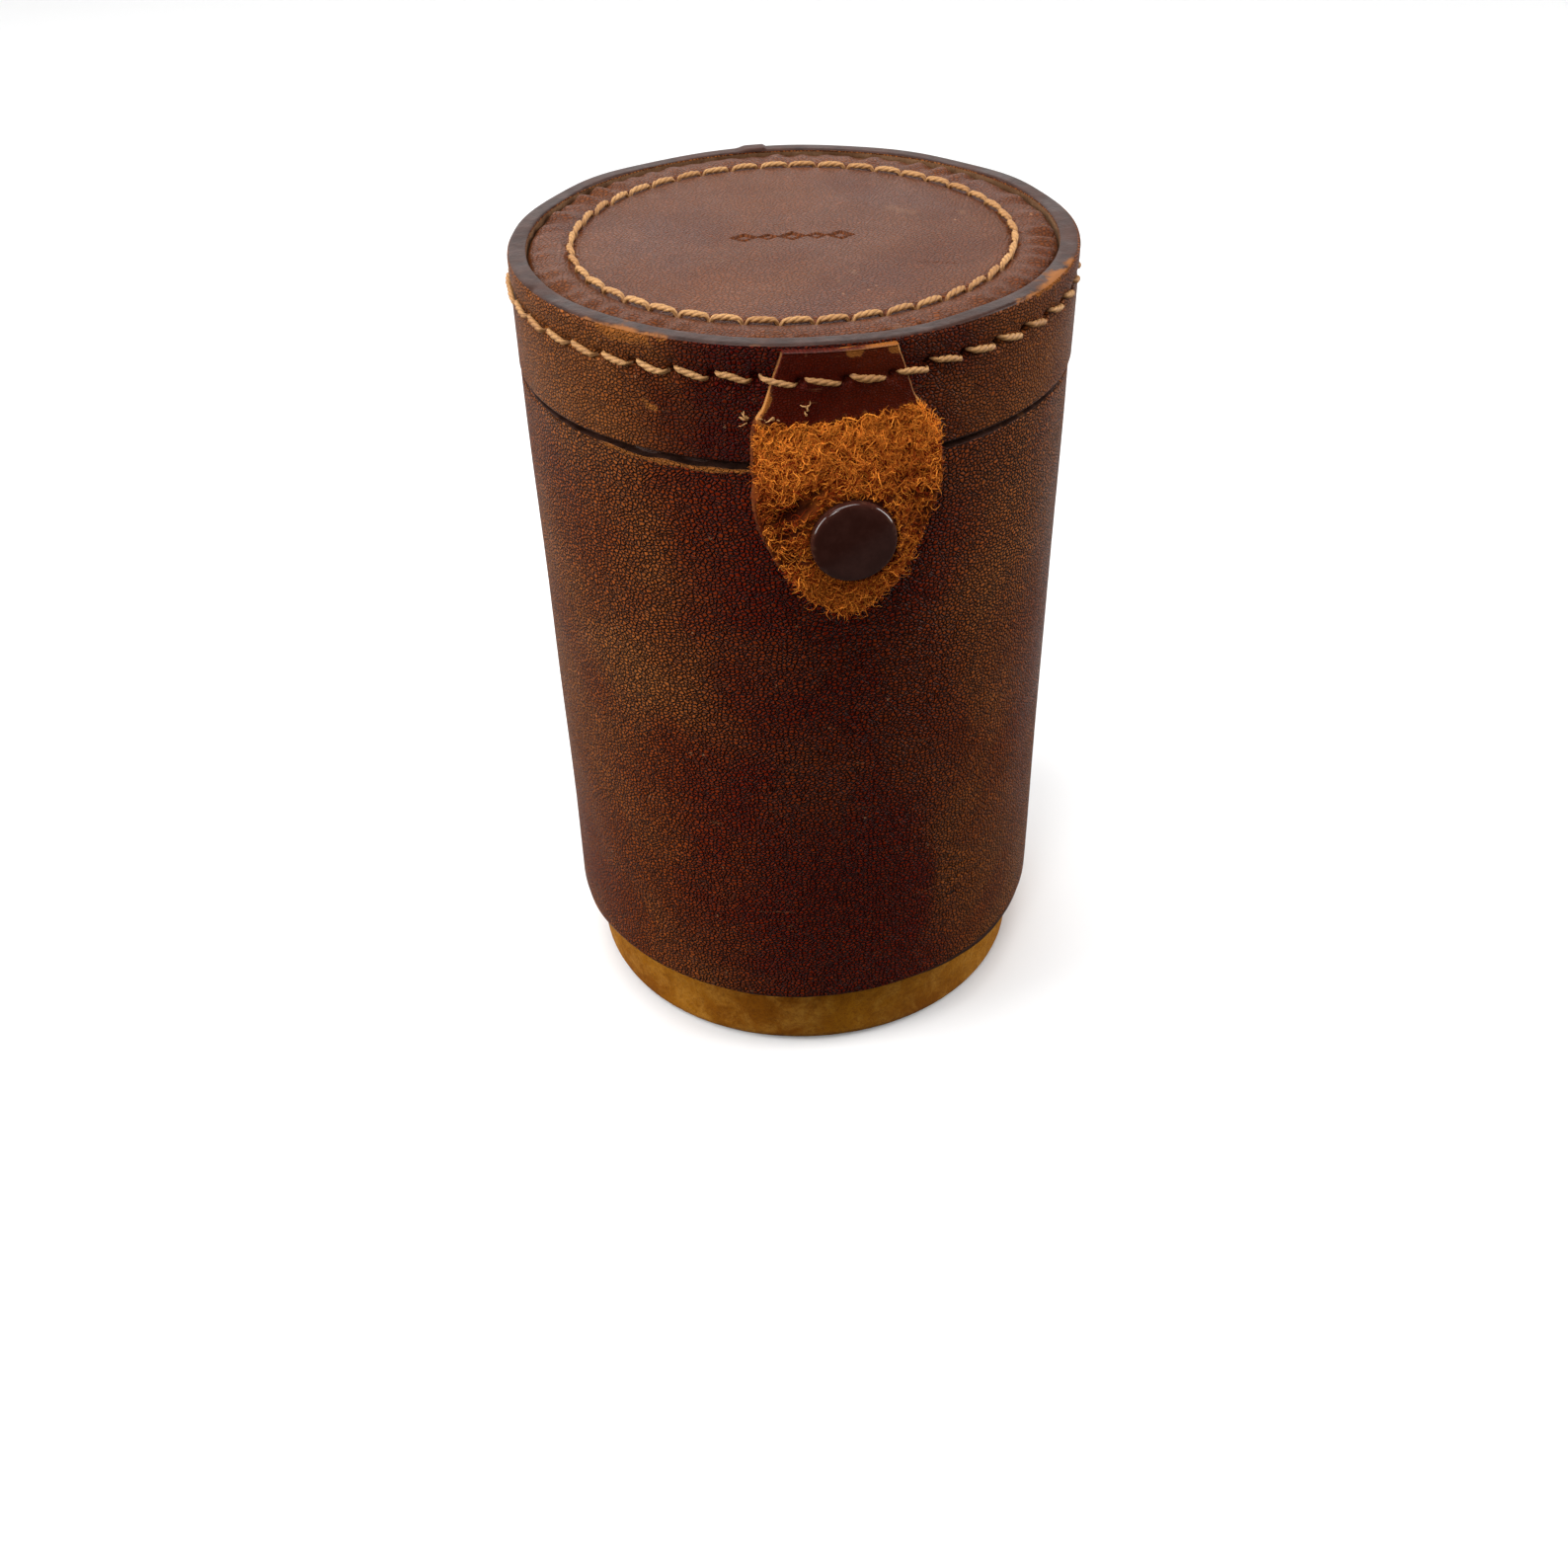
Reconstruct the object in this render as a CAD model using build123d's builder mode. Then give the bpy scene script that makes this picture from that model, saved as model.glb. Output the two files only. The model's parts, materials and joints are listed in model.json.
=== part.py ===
"""Leather dice cup with a hinged lid and a snap tab.

Frame: origin at the centre of the underside, +Z up, the snap tab at -Y and the lid's
leather hinge at +Y.  All sizes are in millimetres.
"""

import os
from math import cos, radians, sin

from build123d import *

os.makedirs("parts", exist_ok=True)

# --- Driving dimensions ---------------------------------------------------------------

total_height = 124.0        # underside to the lid's rim
lid_radius = 40.0           # outside of the lid band
lid_height = 16.0           # depth of the lid band
closing_gap = 1.0           # open line between the lid band and the cover

# Cup body
cup_radius = 36.2           # outside of the tan inner tube
cup_wall = 2.4
cup_foot_round = 2.0        # rounding of the tube's lower edge
neck_height = 5.5           # how far the tube rises into the lid
cover_top_radius = 39.7     # the brown cover tapers very slightly towards the base
cover_foot_radius = 39.1
cover_foot_height = 13.0    # the cover's cut lower edge above the table
board_wall = 1.2            # pressed board tube between the inner tube and the cover
board_setback = 0.8         # the board ends a little above the cover's cut edge
cut_edge_round = 0.4        # softened leather edges
base_disc_height = 3.0
base_board_height = 2.0
floor_lining_height = 1.2

# Lid
band_wall = 2.7             # leather of the lid band, seen on edge as the rim
lid_top_drop = 0.6          # the top disc sits just below the rim
lid_top_leather = 1.6
lid_top_skirt_depth = 8.5   # turned-down margin of the top disc, below the rim
lid_top_skirt_wall = 1.9
lid_top_round = 1.3
lid_board_height = 2.0
lid_lining_height = 1.0

# Stitches: a bar of thread with a rounded back
thread_width = 1.0
thread_height = 0.6
thread_round = 0.25
top_stitch_radius = 31.2
top_stitch_count = 43
top_stitch_length = 4.0
band_stitch_count = 45
band_stitch_length = 4.3
band_stitch_slant = -8.0    # degrees, each stitch falls to the right
band_seam_drop = 4.3        # below the rim
strap_stitch_length = 3.6

# Tab, cut from the same leather as the band
tab_leather = 1.8
tab_top_half_width = 7.2
tab_neck_half_width = 9.3
tab_neck_drop = 5.5
tab_fold_half_width = 12.0
tab_fold_drop = 11.0        # fold line, below the rim
tab_shoulder_half_width = 12.6
tab_shoulder_drop = 19.5
tab_waist_half_width = 10.4
tab_waist_drop = 27.1
tab_nose_half_width = 6.0
tab_nose_drop = 33.1
tab_tip_drop = 36.8
tab_clearance = 0.3         # between the flap and the lid band
tab_lift = 1.8              # the flap stands this much further out at the snap
tab_lift_drop = 19.0
fold_gap = 0.3              # half the open line at the fold
fold_bead_radius = 0.9
fold_bead_half_width = 6.0
bead_clearance = 0.05

# Snap fastener on the tab's centre line
snap_drop = 25.0            # centre of the snap, below the rim
snap_cap_radius = 5.7
snap_cap_height = 1.9
cap_edge_height = 0.6       # straight rolled edge
cap_crown_height = 1.5      # where the edge has turned over into the flat crown
cap_crown_radius = 4.9
snap_post_radius = 1.7
rivet_radius = 1.05
socket_radius = 4.8
socket_height = 2.2
socket_inset = 0.6          # pressed into the flap's inner face
socket_wall = 0.4
socket_mouth_radius = 2.35
socket_cavity_radius = 2.75
spring_radius = 2.45
spring_wire_radius = 0.25
spring_gap_angle = 40.0
stud_flange_radius = 4.5
stud_flange_height = 0.5
stud_neck_radius = 1.75
stud_neck_height = 1.35
stud_head_radius = 2.1
stud_head_height = 0.65
eyelet_radius = 4.0
eyelet_flange_height = 0.5
eyelet_shank_radius = 1.2
eyelet_shank_rise = 0.9     # above the stud flange's seat
snap_hole_clearance = 0.05

# Leather hinge strap at the back
strap_leather = 1.8
strap_half_width = 10.9
strap_lower_length = 17.0
strap_upper_top_drop = 3.0  # below the rim
strap_axis_offset = 0.6     # hinge axis outside the upper strap's outer face
strap_fold_radius = 1.4
strap_fold_gap = 1.6        # open line between the fold and the upper strap
strap_fold_clearance = 0.4
strap_seam_margin = 2.4     # foot of the strap to its lowest row of stitches
strap_foot_pitch = 6.2      # degrees between the stitches along the foot
strap_side_azimuth = 11.2   # degrees from the strap's middle to its side rows
strap_side_pitch = 4.4

# --- Worked-out levels and radii --------------------------------------------------------

lid_foot = total_height - lid_height
cover_top = lid_foot - closing_gap
neck_top = lid_foot + neck_height
bore_radius = cup_radius - cup_wall
cover_bore = cup_radius + board_wall
band_bore = lid_radius - band_wall
lid_top_level = total_height - lid_top_drop
lid_board_top = lid_top_level - lid_top_leather
lid_board_foot = lid_board_top - lid_board_height
skirt_bore = band_bore - lid_top_skirt_wall
base_board_foot = base_disc_height
floor_lining_foot = base_board_foot + base_board_height

band_seam_level = total_height - band_seam_drop
fold_level = total_height - tab_fold_drop
flap_inner = lid_radius + tab_clearance
flap_outer = flap_inner + tab_leather
fold_axis = (-flap_outer, fold_level)          # Y and Z of the tab's hinge line

snap_level = total_height - snap_drop
snap_axis = Axis((0, 0, snap_level), (0, -1, 0))
cover_slope = (cover_top_radius - cover_foot_radius) / (cover_top - cover_foot_height)
stud_seat = cover_foot_radius + cover_slope * (snap_level + stud_flange_radius - cover_foot_height)
flap_snap_inner = flap_inner + tab_lift
flap_snap_outer = flap_snap_inner + tab_leather
socket_back = flap_snap_inner + socket_inset
socket_front = socket_back - socket_height
stud_head_front = stud_seat + stud_flange_height + stud_neck_height

strap_upper_outer = lid_radius + strap_leather
strap_lower_outer = cover_top_radius + strap_leather
strap_axis_y = strap_upper_outer + strap_axis_offset
strap_axis_z = (lid_foot + cover_top) / 2
strap_lower_top = strap_axis_z - 0.5 * strap_fold_radius
strap_lower_foot = strap_axis_z - strap_lower_length
strap_upper_foot = strap_axis_z + strap_fold_gap
strap_upper_top = total_height - strap_upper_top_drop


def save(piece, name):
    """Label a finished piece and write it as its own STEP file."""
    piece.part.label = name
    export_step(piece.part, f"parts/{name}.step")


def wall_plane(radius, azimuth, level):
    """Plane touching a wall of the given radius; azimuth 0 is at -Y, positive towards +X."""
    outward = (sin(radians(azimuth)), -cos(radians(azimuth)), 0)
    along = (cos(radians(azimuth)), sin(radians(azimuth)), 0)
    origin = (radius * outward[0], radius * outward[1], level)
    return Plane(origin=origin, x_dir=along, z_dir=outward)


# --- Cup body ---------------------------------------------------------------------------

with BuildPart() as inner_tube:
    with BuildSketch():
        Circle(cup_radius)
        Circle(bore_radius, mode=Mode.SUBTRACT)
    extrude(amount=neck_top)
    foot_edge = inner_tube.edges().group_by(Axis.Z)[0].sort_by(SortBy.RADIUS)[-1]
    fillet(foot_edge, cup_foot_round)
    fillet(inner_tube.edges().group_by(Axis.Z)[-1], 2 * cut_edge_round)
save(inner_tube, "inner_tube")

with BuildPart() as base_disc:
    with BuildSketch():
        Circle(bore_radius)
    extrude(amount=base_disc_height)
save(base_disc, "base_disc")

with BuildPart() as base_board:
    with BuildSketch(Plane.XY.offset(base_board_foot)):
        Circle(bore_radius)
    extrude(amount=base_board_height)
save(base_board, "base_board")

with BuildPart() as floor_lining:
    with BuildSketch(Plane.XY.offset(floor_lining_foot)):
        Circle(bore_radius)
    extrude(amount=floor_lining_height)
save(floor_lining, "floor_lining")

with BuildPart() as board_tube:
    with BuildSketch(Plane.XY.offset(cover_foot_height + board_setback)):
        Circle(cover_bore)
        Circle(cup_radius, mode=Mode.SUBTRACT)
    extrude(amount=cover_top - cover_foot_height - 2 * board_setback)
save(board_tube, "board_tube")

with BuildPart() as outer_cover:
    with BuildSketch(Plane.XZ):
        with BuildLine():
            Polyline(
                (cover_bore, cover_foot_height),
                (cover_foot_radius, cover_foot_height),
                (cover_top_radius, cover_top),
                (cover_bore, cover_top),
                close=True,
            )
        make_face()
    revolve(axis=Axis.Z)
    cut_edges = outer_cover.edges().filter_by(GeomType.CIRCLE)
    fillet(cut_edges.filter_by(lambda edge: edge.radius > cover_bore + cut_edge_round), cut_edge_round)
    # Seat for the eyelet's flange behind the leather, and the hole for its shank.
    with BuildSketch(Plane.XZ.offset(cup_radius)) as eyelet_seat:
        with Locations((0, snap_level)):
            Circle(eyelet_radius + snap_hole_clearance)
    extrude(amount=board_wall + eyelet_flange_height + snap_hole_clearance, mode=Mode.SUBTRACT)
    with BuildSketch(Plane.XZ.offset(cup_radius)) as shank_hole:
        with Locations((0, snap_level)):
            Circle(eyelet_shank_radius + snap_hole_clearance)
    extrude(amount=2 * band_wall, mode=Mode.SUBTRACT)
save(outer_cover, "outer_cover")

# --- Lid --------------------------------------------------------------------------------

with BuildPart() as lid_band:
    with BuildSketch(Plane.XY.offset(lid_foot)):
        Circle(lid_radius)
        Circle(band_bore, mode=Mode.SUBTRACT)
    extrude(amount=lid_height)
    fillet(lid_band.edges().group_by(Axis.Z)[-1].sort_by(SortBy.RADIUS)[-1], 2 * cut_edge_round)
    fillet(lid_band.edges().group_by(Axis.Z)[0], cut_edge_round)
save(lid_band, "lid_band")

with BuildPart() as lid_top:
    with BuildSketch(Plane.XY.offset(total_height - lid_top_skirt_depth)):
        Circle(band_bore)
    extrude(amount=lid_top_skirt_depth - lid_top_drop)
    fillet(lid_top.edges().group_by(Axis.Z)[-1], lid_top_round)
    with BuildSketch(Plane.XY.offset(total_height - lid_top_skirt_depth)):
        Circle(skirt_bore)
    extrude(amount=lid_top_skirt_depth - lid_top_drop - lid_top_leather, mode=Mode.SUBTRACT)
save(lid_top, "lid_top")

with BuildPart() as lid_board:
    with BuildSketch(Plane.XY.offset(lid_board_foot)):
        Circle(skirt_bore)
    extrude(amount=lid_board_height)
save(lid_board, "lid_board")

with BuildPart() as lid_lining:
    with BuildSketch(Plane.XY.offset(lid_board_foot - lid_lining_height)):
        Circle(skirt_bore)
    extrude(amount=lid_lining_height)
save(lid_lining, "lid_lining")

with BuildPart() as top_stitches:
    with BuildSketch(Plane.XY.offset(lid_top_level)):
        with PolarLocations(top_stitch_radius, top_stitch_count):
            SlotOverall(top_stitch_length, thread_width, rotation=90)
    extrude(amount=thread_height)
    fillet(top_stitches.edges().group_by(Axis.Z)[-1], thread_round)
save(top_stitches, "top_stitches")


def band_seam_radius(azimuth):
    """Radius of the surface under the band seam: the tab, the hinge strap or the band."""
    if abs(azimuth) < 15:
        return lid_radius + tab_leather
    if abs(azimuth) > 165:
        return strap_upper_outer
    return lid_radius


band_pitch = 360 / band_stitch_count
seam_azimuths = [band_pitch * (i - band_stitch_count // 2) for i in range(band_stitch_count)]
seam_planes = [wall_plane(band_seam_radius(a), a, band_seam_level) for a in seam_azimuths]
with BuildPart() as band_stitches:
    with BuildSketch(*seam_planes):
        SlotOverall(band_stitch_length, thread_width, rotation=band_stitch_slant)
    extrude(amount=thread_height)
save(band_stitches, "band_stitches")

# --- Tab: the end sewn to the lid, and the flap that opens ------------------------------

with BuildPart() as tab_sewn_end:
    with BuildSketch(Plane.XY.offset(fold_level + fold_gap)):
        Circle(lid_radius + tab_leather)
        Circle(lid_radius, mode=Mode.SUBTRACT)
    extrude(amount=tab_fold_drop - lid_top_drop - fold_gap)
    with BuildSketch(Plane.XZ) as sewn_outline:
        with BuildLine():
            Polyline(
                (-tab_fold_half_width, fold_level),
                (-tab_neck_half_width, total_height - tab_neck_drop),
                (-tab_top_half_width, total_height),
                (tab_top_half_width, total_height),
                (tab_neck_half_width, total_height - tab_neck_drop),
                (tab_fold_half_width, fold_level),
                close=True,
            )
        make_face()
    extrude(amount=2 * lid_radius, mode=Mode.INTERSECT)
    # Round seat for the bead on the fold line.
    with BuildSketch(Plane.YZ) as bead_seat:
        with Locations(fold_axis):
            Circle(fold_bead_radius + bead_clearance)
    extrude(amount=2 * tab_fold_half_width, both=True, mode=Mode.SUBTRACT)
save(tab_sewn_end, "tab_sewn_end")

with BuildPart() as tab_flap:
    with BuildSketch(Plane.YZ) as flap_side:
        with BuildLine():
            Polyline(
                (-flap_inner, fold_level - fold_gap),
                (-flap_outer, fold_level - fold_gap),
                (-flap_snap_outer, total_height - tab_lift_drop),
                (-flap_snap_outer, total_height - tab_tip_drop),
                (-flap_snap_inner, total_height - tab_tip_drop),
                (-flap_snap_inner, total_height - tab_lift_drop),
                close=True,
            )
        make_face()
    extrude(amount=tab_shoulder_half_width, both=True)
    with BuildSketch(Plane.XZ) as flap_outline:
        with BuildLine():
            shoulder = total_height - tab_shoulder_drop
            waist = total_height - tab_waist_drop
            nose = total_height - tab_nose_drop
            Polyline(
                (-tab_shoulder_half_width, shoulder),
                (-tab_fold_half_width, fold_level),
                (tab_fold_half_width, fold_level),
                (tab_shoulder_half_width, shoulder),
            )
            ThreePointArc(
                (tab_shoulder_half_width, shoulder),
                (tab_waist_half_width, waist),
                (tab_nose_half_width, nose),
            )
            ThreePointArc(
                (tab_nose_half_width, nose),
                (0, total_height - tab_tip_drop),
                (-tab_nose_half_width, nose),
            )
            ThreePointArc(
                (-tab_nose_half_width, nose),
                (-tab_waist_half_width, waist),
                (-tab_shoulder_half_width, shoulder),
            )
        make_face()
    extrude(amount=2 * lid_radius, mode=Mode.INTERSECT)
    # Bead along the fold line.
    with BuildSketch(Plane.YZ) as bead:
        with Locations(fold_axis):
            Circle(fold_bead_radius)
    extrude(amount=fold_bead_half_width, both=True)
    # Pocket for the snap socket, and the hole for the cap's post.
    with BuildSketch(Plane.XZ.offset(socket_front)) as socket_pocket:
        with Locations((0, snap_level)):
            Circle(socket_radius + snap_hole_clearance)
    extrude(amount=socket_height, mode=Mode.SUBTRACT)
    with BuildSketch(Plane.XZ.offset(socket_front)) as post_hole:
        with Locations((0, snap_level)):
            Circle(snap_post_radius + snap_hole_clearance)
    extrude(amount=2 * socket_height + tab_leather, mode=Mode.SUBTRACT)
save(tab_flap, "tab_flap")

# --- Snap fastener ----------------------------------------------------------------------
# Each piece is a turned or drawn shape about the snap axis.  Its half section is drawn
# with Y outward from the cup as a negative number and Z as the height above the table.

with BuildPart() as snap_cap:
    with BuildSketch(Plane.YZ):
        with BuildLine():
            Polyline(
                (-(socket_back - socket_wall), snap_level),
                (-(socket_back - socket_wall), snap_level + rivet_radius),
                (-socket_back, snap_level + rivet_radius),
                (-socket_back, snap_level + snap_post_radius),
                (-flap_snap_outer, snap_level + snap_post_radius),
                (-flap_snap_outer, snap_level + snap_cap_radius),
                (-(flap_snap_outer + cap_edge_height), snap_level + snap_cap_radius),
            )
            ThreePointArc(
                (-(flap_snap_outer + cap_edge_height), snap_level + snap_cap_radius),
                (-(flap_snap_outer + 0.88 * cap_crown_height), snap_level + 0.96 * snap_cap_radius),
                (-(flap_snap_outer + cap_crown_height), snap_level + cap_crown_radius),
            )
            Polyline(
                (-(flap_snap_outer + cap_crown_height), snap_level + cap_crown_radius),
                (-(flap_snap_outer + snap_cap_height), snap_level + 0.4 * cap_crown_radius),
                (-(flap_snap_outer + snap_cap_height), snap_level),
                (-(socket_back - socket_wall), snap_level),
            )
        make_face()
    revolve(axis=snap_axis)
save(snap_cap, "snap_cap")

with BuildPart() as snap_socket:
    with BuildSketch(Plane.YZ):
        with BuildLine():
            Polyline(
                (-socket_back, snap_level + rivet_radius),
                (-socket_back, snap_level + socket_radius),
                (-socket_front, snap_level + socket_radius),
                (-socket_front, snap_level + socket_mouth_radius),
                (-(socket_front + socket_wall), snap_level + socket_mouth_radius),
                (-(socket_front + socket_wall), snap_level + socket_cavity_radius),
                (-(socket_back - socket_wall), snap_level + socket_cavity_radius),
                (-(socket_back - socket_wall), snap_level + rivet_radius),
                close=True,
            )
        make_face()
    revolve(axis=snap_axis)
save(snap_socket, "snap_socket")

with BuildPart() as socket_spring:
    spring_depth = socket_front + socket_wall + 2 * spring_wire_radius
    with BuildLine(Plane.XZ.offset(spring_depth)) as spring_path:
        CenterArc((0, snap_level), spring_radius, spring_gap_angle / 2, 360 - spring_gap_angle)
    with BuildSketch(spring_path.line ^ 0) as spring_section:
        Circle(spring_wire_radius)
    sweep()
save(socket_spring, "socket_spring")

with BuildPart() as snap_stud:
    with BuildSketch(Plane.YZ):
        with BuildLine():
            Polyline(
                (-(stud_seat + eyelet_shank_rise), snap_level),
                (-(stud_seat + eyelet_shank_rise), snap_level + eyelet_shank_radius),
                (-stud_seat, snap_level + eyelet_shank_radius),
                (-stud_seat, snap_level + stud_flange_radius),
                (-(stud_seat + stud_flange_height), snap_level + stud_flange_radius),
                (-(stud_seat + stud_flange_height), snap_level + stud_neck_radius),
                (-stud_head_front, snap_level + stud_neck_radius),
                (-stud_head_front, snap_level + stud_head_radius),
                (-(stud_head_front + 0.5 * stud_head_height), snap_level + stud_head_radius),
                (-(stud_head_front + stud_head_height), snap_level + stud_neck_radius),
                (-(stud_head_front + stud_head_height), snap_level),
                close=True,
            )
        make_face()
    revolve(axis=snap_axis)
save(snap_stud, "snap_stud")

with BuildPart() as stud_eyelet:
    eyelet_back = cover_bore + snap_hole_clearance
    eyelet_seat_depth = eyelet_back + eyelet_flange_height
    with BuildSketch(Plane.YZ):
        with BuildLine():
            Polyline(
                (-eyelet_back, snap_level),
                (-eyelet_back, snap_level + eyelet_radius),
                (-eyelet_seat_depth, snap_level + eyelet_radius),
                (-eyelet_seat_depth, snap_level + eyelet_shank_radius),
                (-(stud_seat + eyelet_shank_rise), snap_level + eyelet_shank_radius),
                (-(stud_seat + eyelet_shank_rise), snap_level),
                close=True,
            )
        make_face()
    revolve(axis=snap_axis)
save(stud_eyelet, "stud_eyelet")

# --- Leather hinge strap at the back ----------------------------------------------------

with BuildPart() as hinge_strap_lower:
    with BuildSketch(Plane.XY.offset(strap_lower_foot)):
        Circle(strap_lower_outer)
        Circle(cover_top_radius, mode=Mode.SUBTRACT)
        with Locations((0, lid_radius)):
            Rectangle(2 * strap_half_width, lid_radius, mode=Mode.INTERSECT)
    extrude(amount=strap_lower_top - strap_lower_foot)
    # The fold stands out as a round roll on the hinge axis.
    with BuildSketch(Plane.YZ) as strap_fold:
        with Locations((strap_axis_y, strap_axis_z)):
            Circle(strap_fold_radius)
    extrude(amount=0.7 * strap_half_width, both=True)
save(hinge_strap_lower, "hinge_strap_lower")

with BuildPart() as hinge_strap_upper:
    with BuildSketch(Plane.XY.offset(strap_upper_foot)):
        Circle(strap_upper_outer)
        Circle(lid_radius, mode=Mode.SUBTRACT)
        with Locations((0, lid_radius)):
            Rectangle(2 * strap_half_width, lid_radius, mode=Mode.INTERSECT)
    extrude(amount=strap_upper_top - strap_upper_foot)
    with BuildSketch(Plane.YZ) as fold_relief:
        with Locations((strap_axis_y, strap_axis_z)):
            Circle(strap_fold_radius + strap_fold_clearance)
    extrude(amount=2 * strap_half_width, both=True, mode=Mode.SUBTRACT)
save(hinge_strap_upper, "hinge_strap_upper")

foot_row_planes = [
    wall_plane(strap_lower_outer, 180 + strap_foot_pitch * step, strap_lower_foot + strap_seam_margin)
    for step in (-1, 0, 1)
]
side_row_planes = [
    wall_plane(
        strap_lower_outer,
        180 + side * strap_side_azimuth,
        strap_lower_foot + strap_seam_margin + strap_side_pitch * (step + 0.6),
    )
    for side in (-1, 1)
    for step in range(3)
]
with BuildPart() as hinge_stitches:
    with BuildSketch(*foot_row_planes):
        SlotOverall(strap_stitch_length, thread_width)
    extrude(amount=thread_height)
    with BuildSketch(*side_row_planes):
        SlotOverall(strap_stitch_length, thread_width, rotation=90)
    extrude(amount=thread_height)
save(hinge_stitches, "hinge_stitches")
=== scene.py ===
import json
import math

import bpy
import numpy as np
from mathutils import Matrix, Vector


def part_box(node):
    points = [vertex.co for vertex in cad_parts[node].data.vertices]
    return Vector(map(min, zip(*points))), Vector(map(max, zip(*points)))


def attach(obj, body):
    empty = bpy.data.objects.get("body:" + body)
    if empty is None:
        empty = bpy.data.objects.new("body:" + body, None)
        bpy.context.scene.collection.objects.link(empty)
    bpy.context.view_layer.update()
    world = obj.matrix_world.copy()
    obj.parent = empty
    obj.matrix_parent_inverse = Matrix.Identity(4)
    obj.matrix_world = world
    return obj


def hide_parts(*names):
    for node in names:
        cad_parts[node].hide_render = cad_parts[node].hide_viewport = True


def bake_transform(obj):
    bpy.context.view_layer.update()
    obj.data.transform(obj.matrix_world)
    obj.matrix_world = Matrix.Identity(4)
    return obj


# Leather dice cup with a hinged lid and a snap tab.  Metres, +Z up, origin under the cup.
# The tab is at -Y and the hinge at +Y.  An azimuth is an angle in degrees about +Z,
# 0 at the tab and positive towards +X.  A drop is a distance below the lid's rim.

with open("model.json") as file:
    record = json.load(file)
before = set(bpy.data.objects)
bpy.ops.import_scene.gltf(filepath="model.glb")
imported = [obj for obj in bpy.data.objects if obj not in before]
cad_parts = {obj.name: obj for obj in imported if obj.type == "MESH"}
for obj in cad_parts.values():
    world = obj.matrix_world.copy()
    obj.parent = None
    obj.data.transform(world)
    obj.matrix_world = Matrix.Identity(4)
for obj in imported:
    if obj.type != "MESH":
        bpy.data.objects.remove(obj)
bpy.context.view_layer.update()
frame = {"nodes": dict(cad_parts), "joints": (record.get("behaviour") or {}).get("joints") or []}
MM = 0.001
UP = np.array([0.0, 0.0, 1.0])

# --- Sizes read from the frame ---------------------------------------------------------

band_low, band_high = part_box("lid_band")
cover_low, cover_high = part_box("outer_cover")
_, tube_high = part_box("inner_tube")
disc_low, disc_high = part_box("lid_top")
_, board_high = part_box("lid_board")
_, ring_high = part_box("top_stitches")
seam_low, seam_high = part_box("band_stitches")
cap_low, cap_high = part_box("snap_cap")
flap_low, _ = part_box("tab_flap")
strap_low, strap_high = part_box("hinge_strap_lower")
_, upper_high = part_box("hinge_strap_upper")
lining_low, lining_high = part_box("floor_lining")
_, core_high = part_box("board_tube")

rim_level = band_high[2]
lid_foot = band_low[2]
lid_radius = band_high[0]
disc_radius = disc_high[0]
disc_level = disc_high[2]
skirt_bore = board_high[0]
cover_radius = cover_high[0]
cover_foot = cover_low[2]
cover_top = cover_high[2]
cover_bore = core_high[0]
cup_radius = tube_high[0]
neck_top = tube_high[2]
bore_radius = lining_high[0]
seam_level = (seam_low[2] + seam_high[2]) / 2
snap_level = (cap_low[2] + cap_high[2]) / 2
snap_drop = rim_level - snap_level
cap_seat = -flap_low[1]
cap_radius = (cap_high[2] - cap_low[2]) / 2
tip_drop = rim_level - flap_low[2]
hinges = {joint["name"]: joint["pos_m"] for joint in frame["joints"]}
strap_axis = hinges["lid_hinge"]

# --- Sizes that only the looks need ----------------------------------------------------

cover_taper = 0.6 * MM          # how much smaller the cover is at its foot
thread_radius = 0.5 * MM
axis_gap = 0.02 * MM            # radius of the small face that closes a mesh at its axis
top_ring_radius = ring_high[0] - thread_radius
top_stitches = 43
band_stitches = 45
band_segments = 900             # points of each mesh round the axis
top_segments = 800
cover_segments = 560
tube_segments = 480
cap_segments = 160
tab_columns = 110               # points across the outer face of the tab and of the strap
strap_columns = 48
nap_fibres = 7300
sewn_leather = 1.3 * MM         # tab thickness where the band seam crosses it
flap_leather = 1.8 * MM
strap_leather = 1.5 * MM
tab_lift = cap_seat - lid_radius - flap_leather


def smoothstep(low, high, value):
    """0 below low, 1 above high, smooth between."""
    t = np.clip((value - low) / (high - low), 0, 1)
    return t * t * (3 - 2 * t)


def bell(distance, width):
    """A bell of height 1 at distance 0; its width is in millimetres."""
    return np.exp(-((distance / (width * MM)) ** 2))


def around(azimuth, centre):
    """Signed difference of two azimuths in degrees, within half a turn."""
    return (azimuth - centre + 180) % 360 - 180


def facing(azimuth, centre, width):
    """A bell of height 1 at an azimuth, with its width in degrees."""
    return np.exp(-((around(azimuth, centre) / width) ** 2))


def unit(vectors):
    """Vectors along the last axis, made 1 long."""
    return vectors / np.linalg.norm(vectors, axis=-1, keepdims=True)


def wall_point(azimuth, radius, level):
    """A point at an azimuth in degrees, a distance from the axis and a height."""
    turn = np.radians(azimuth)
    return np.stack(np.broadcast_arrays(radius * np.sin(turn), -radius * np.cos(turn), level), -1)


def ripple(u, v, seed, waves=7, lowest=1, highest=6):
    """Smooth irregular field, about -1 to 1, periodic in the angle u (degrees)."""
    rng = np.random.default_rng(seed)
    total = np.zeros(np.broadcast(u, v).shape)
    for _ in range(waves):
        turns = rng.integers(lowest, highest)
        slant = rng.uniform(-0.5, 0.5) * highest
        total += np.sin(np.radians(u) * turns + v * slant + rng.uniform(0, 6.3))
    return total / math.sqrt(waves)


# --- Meshes ----------------------------------------------------------------------------

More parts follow.
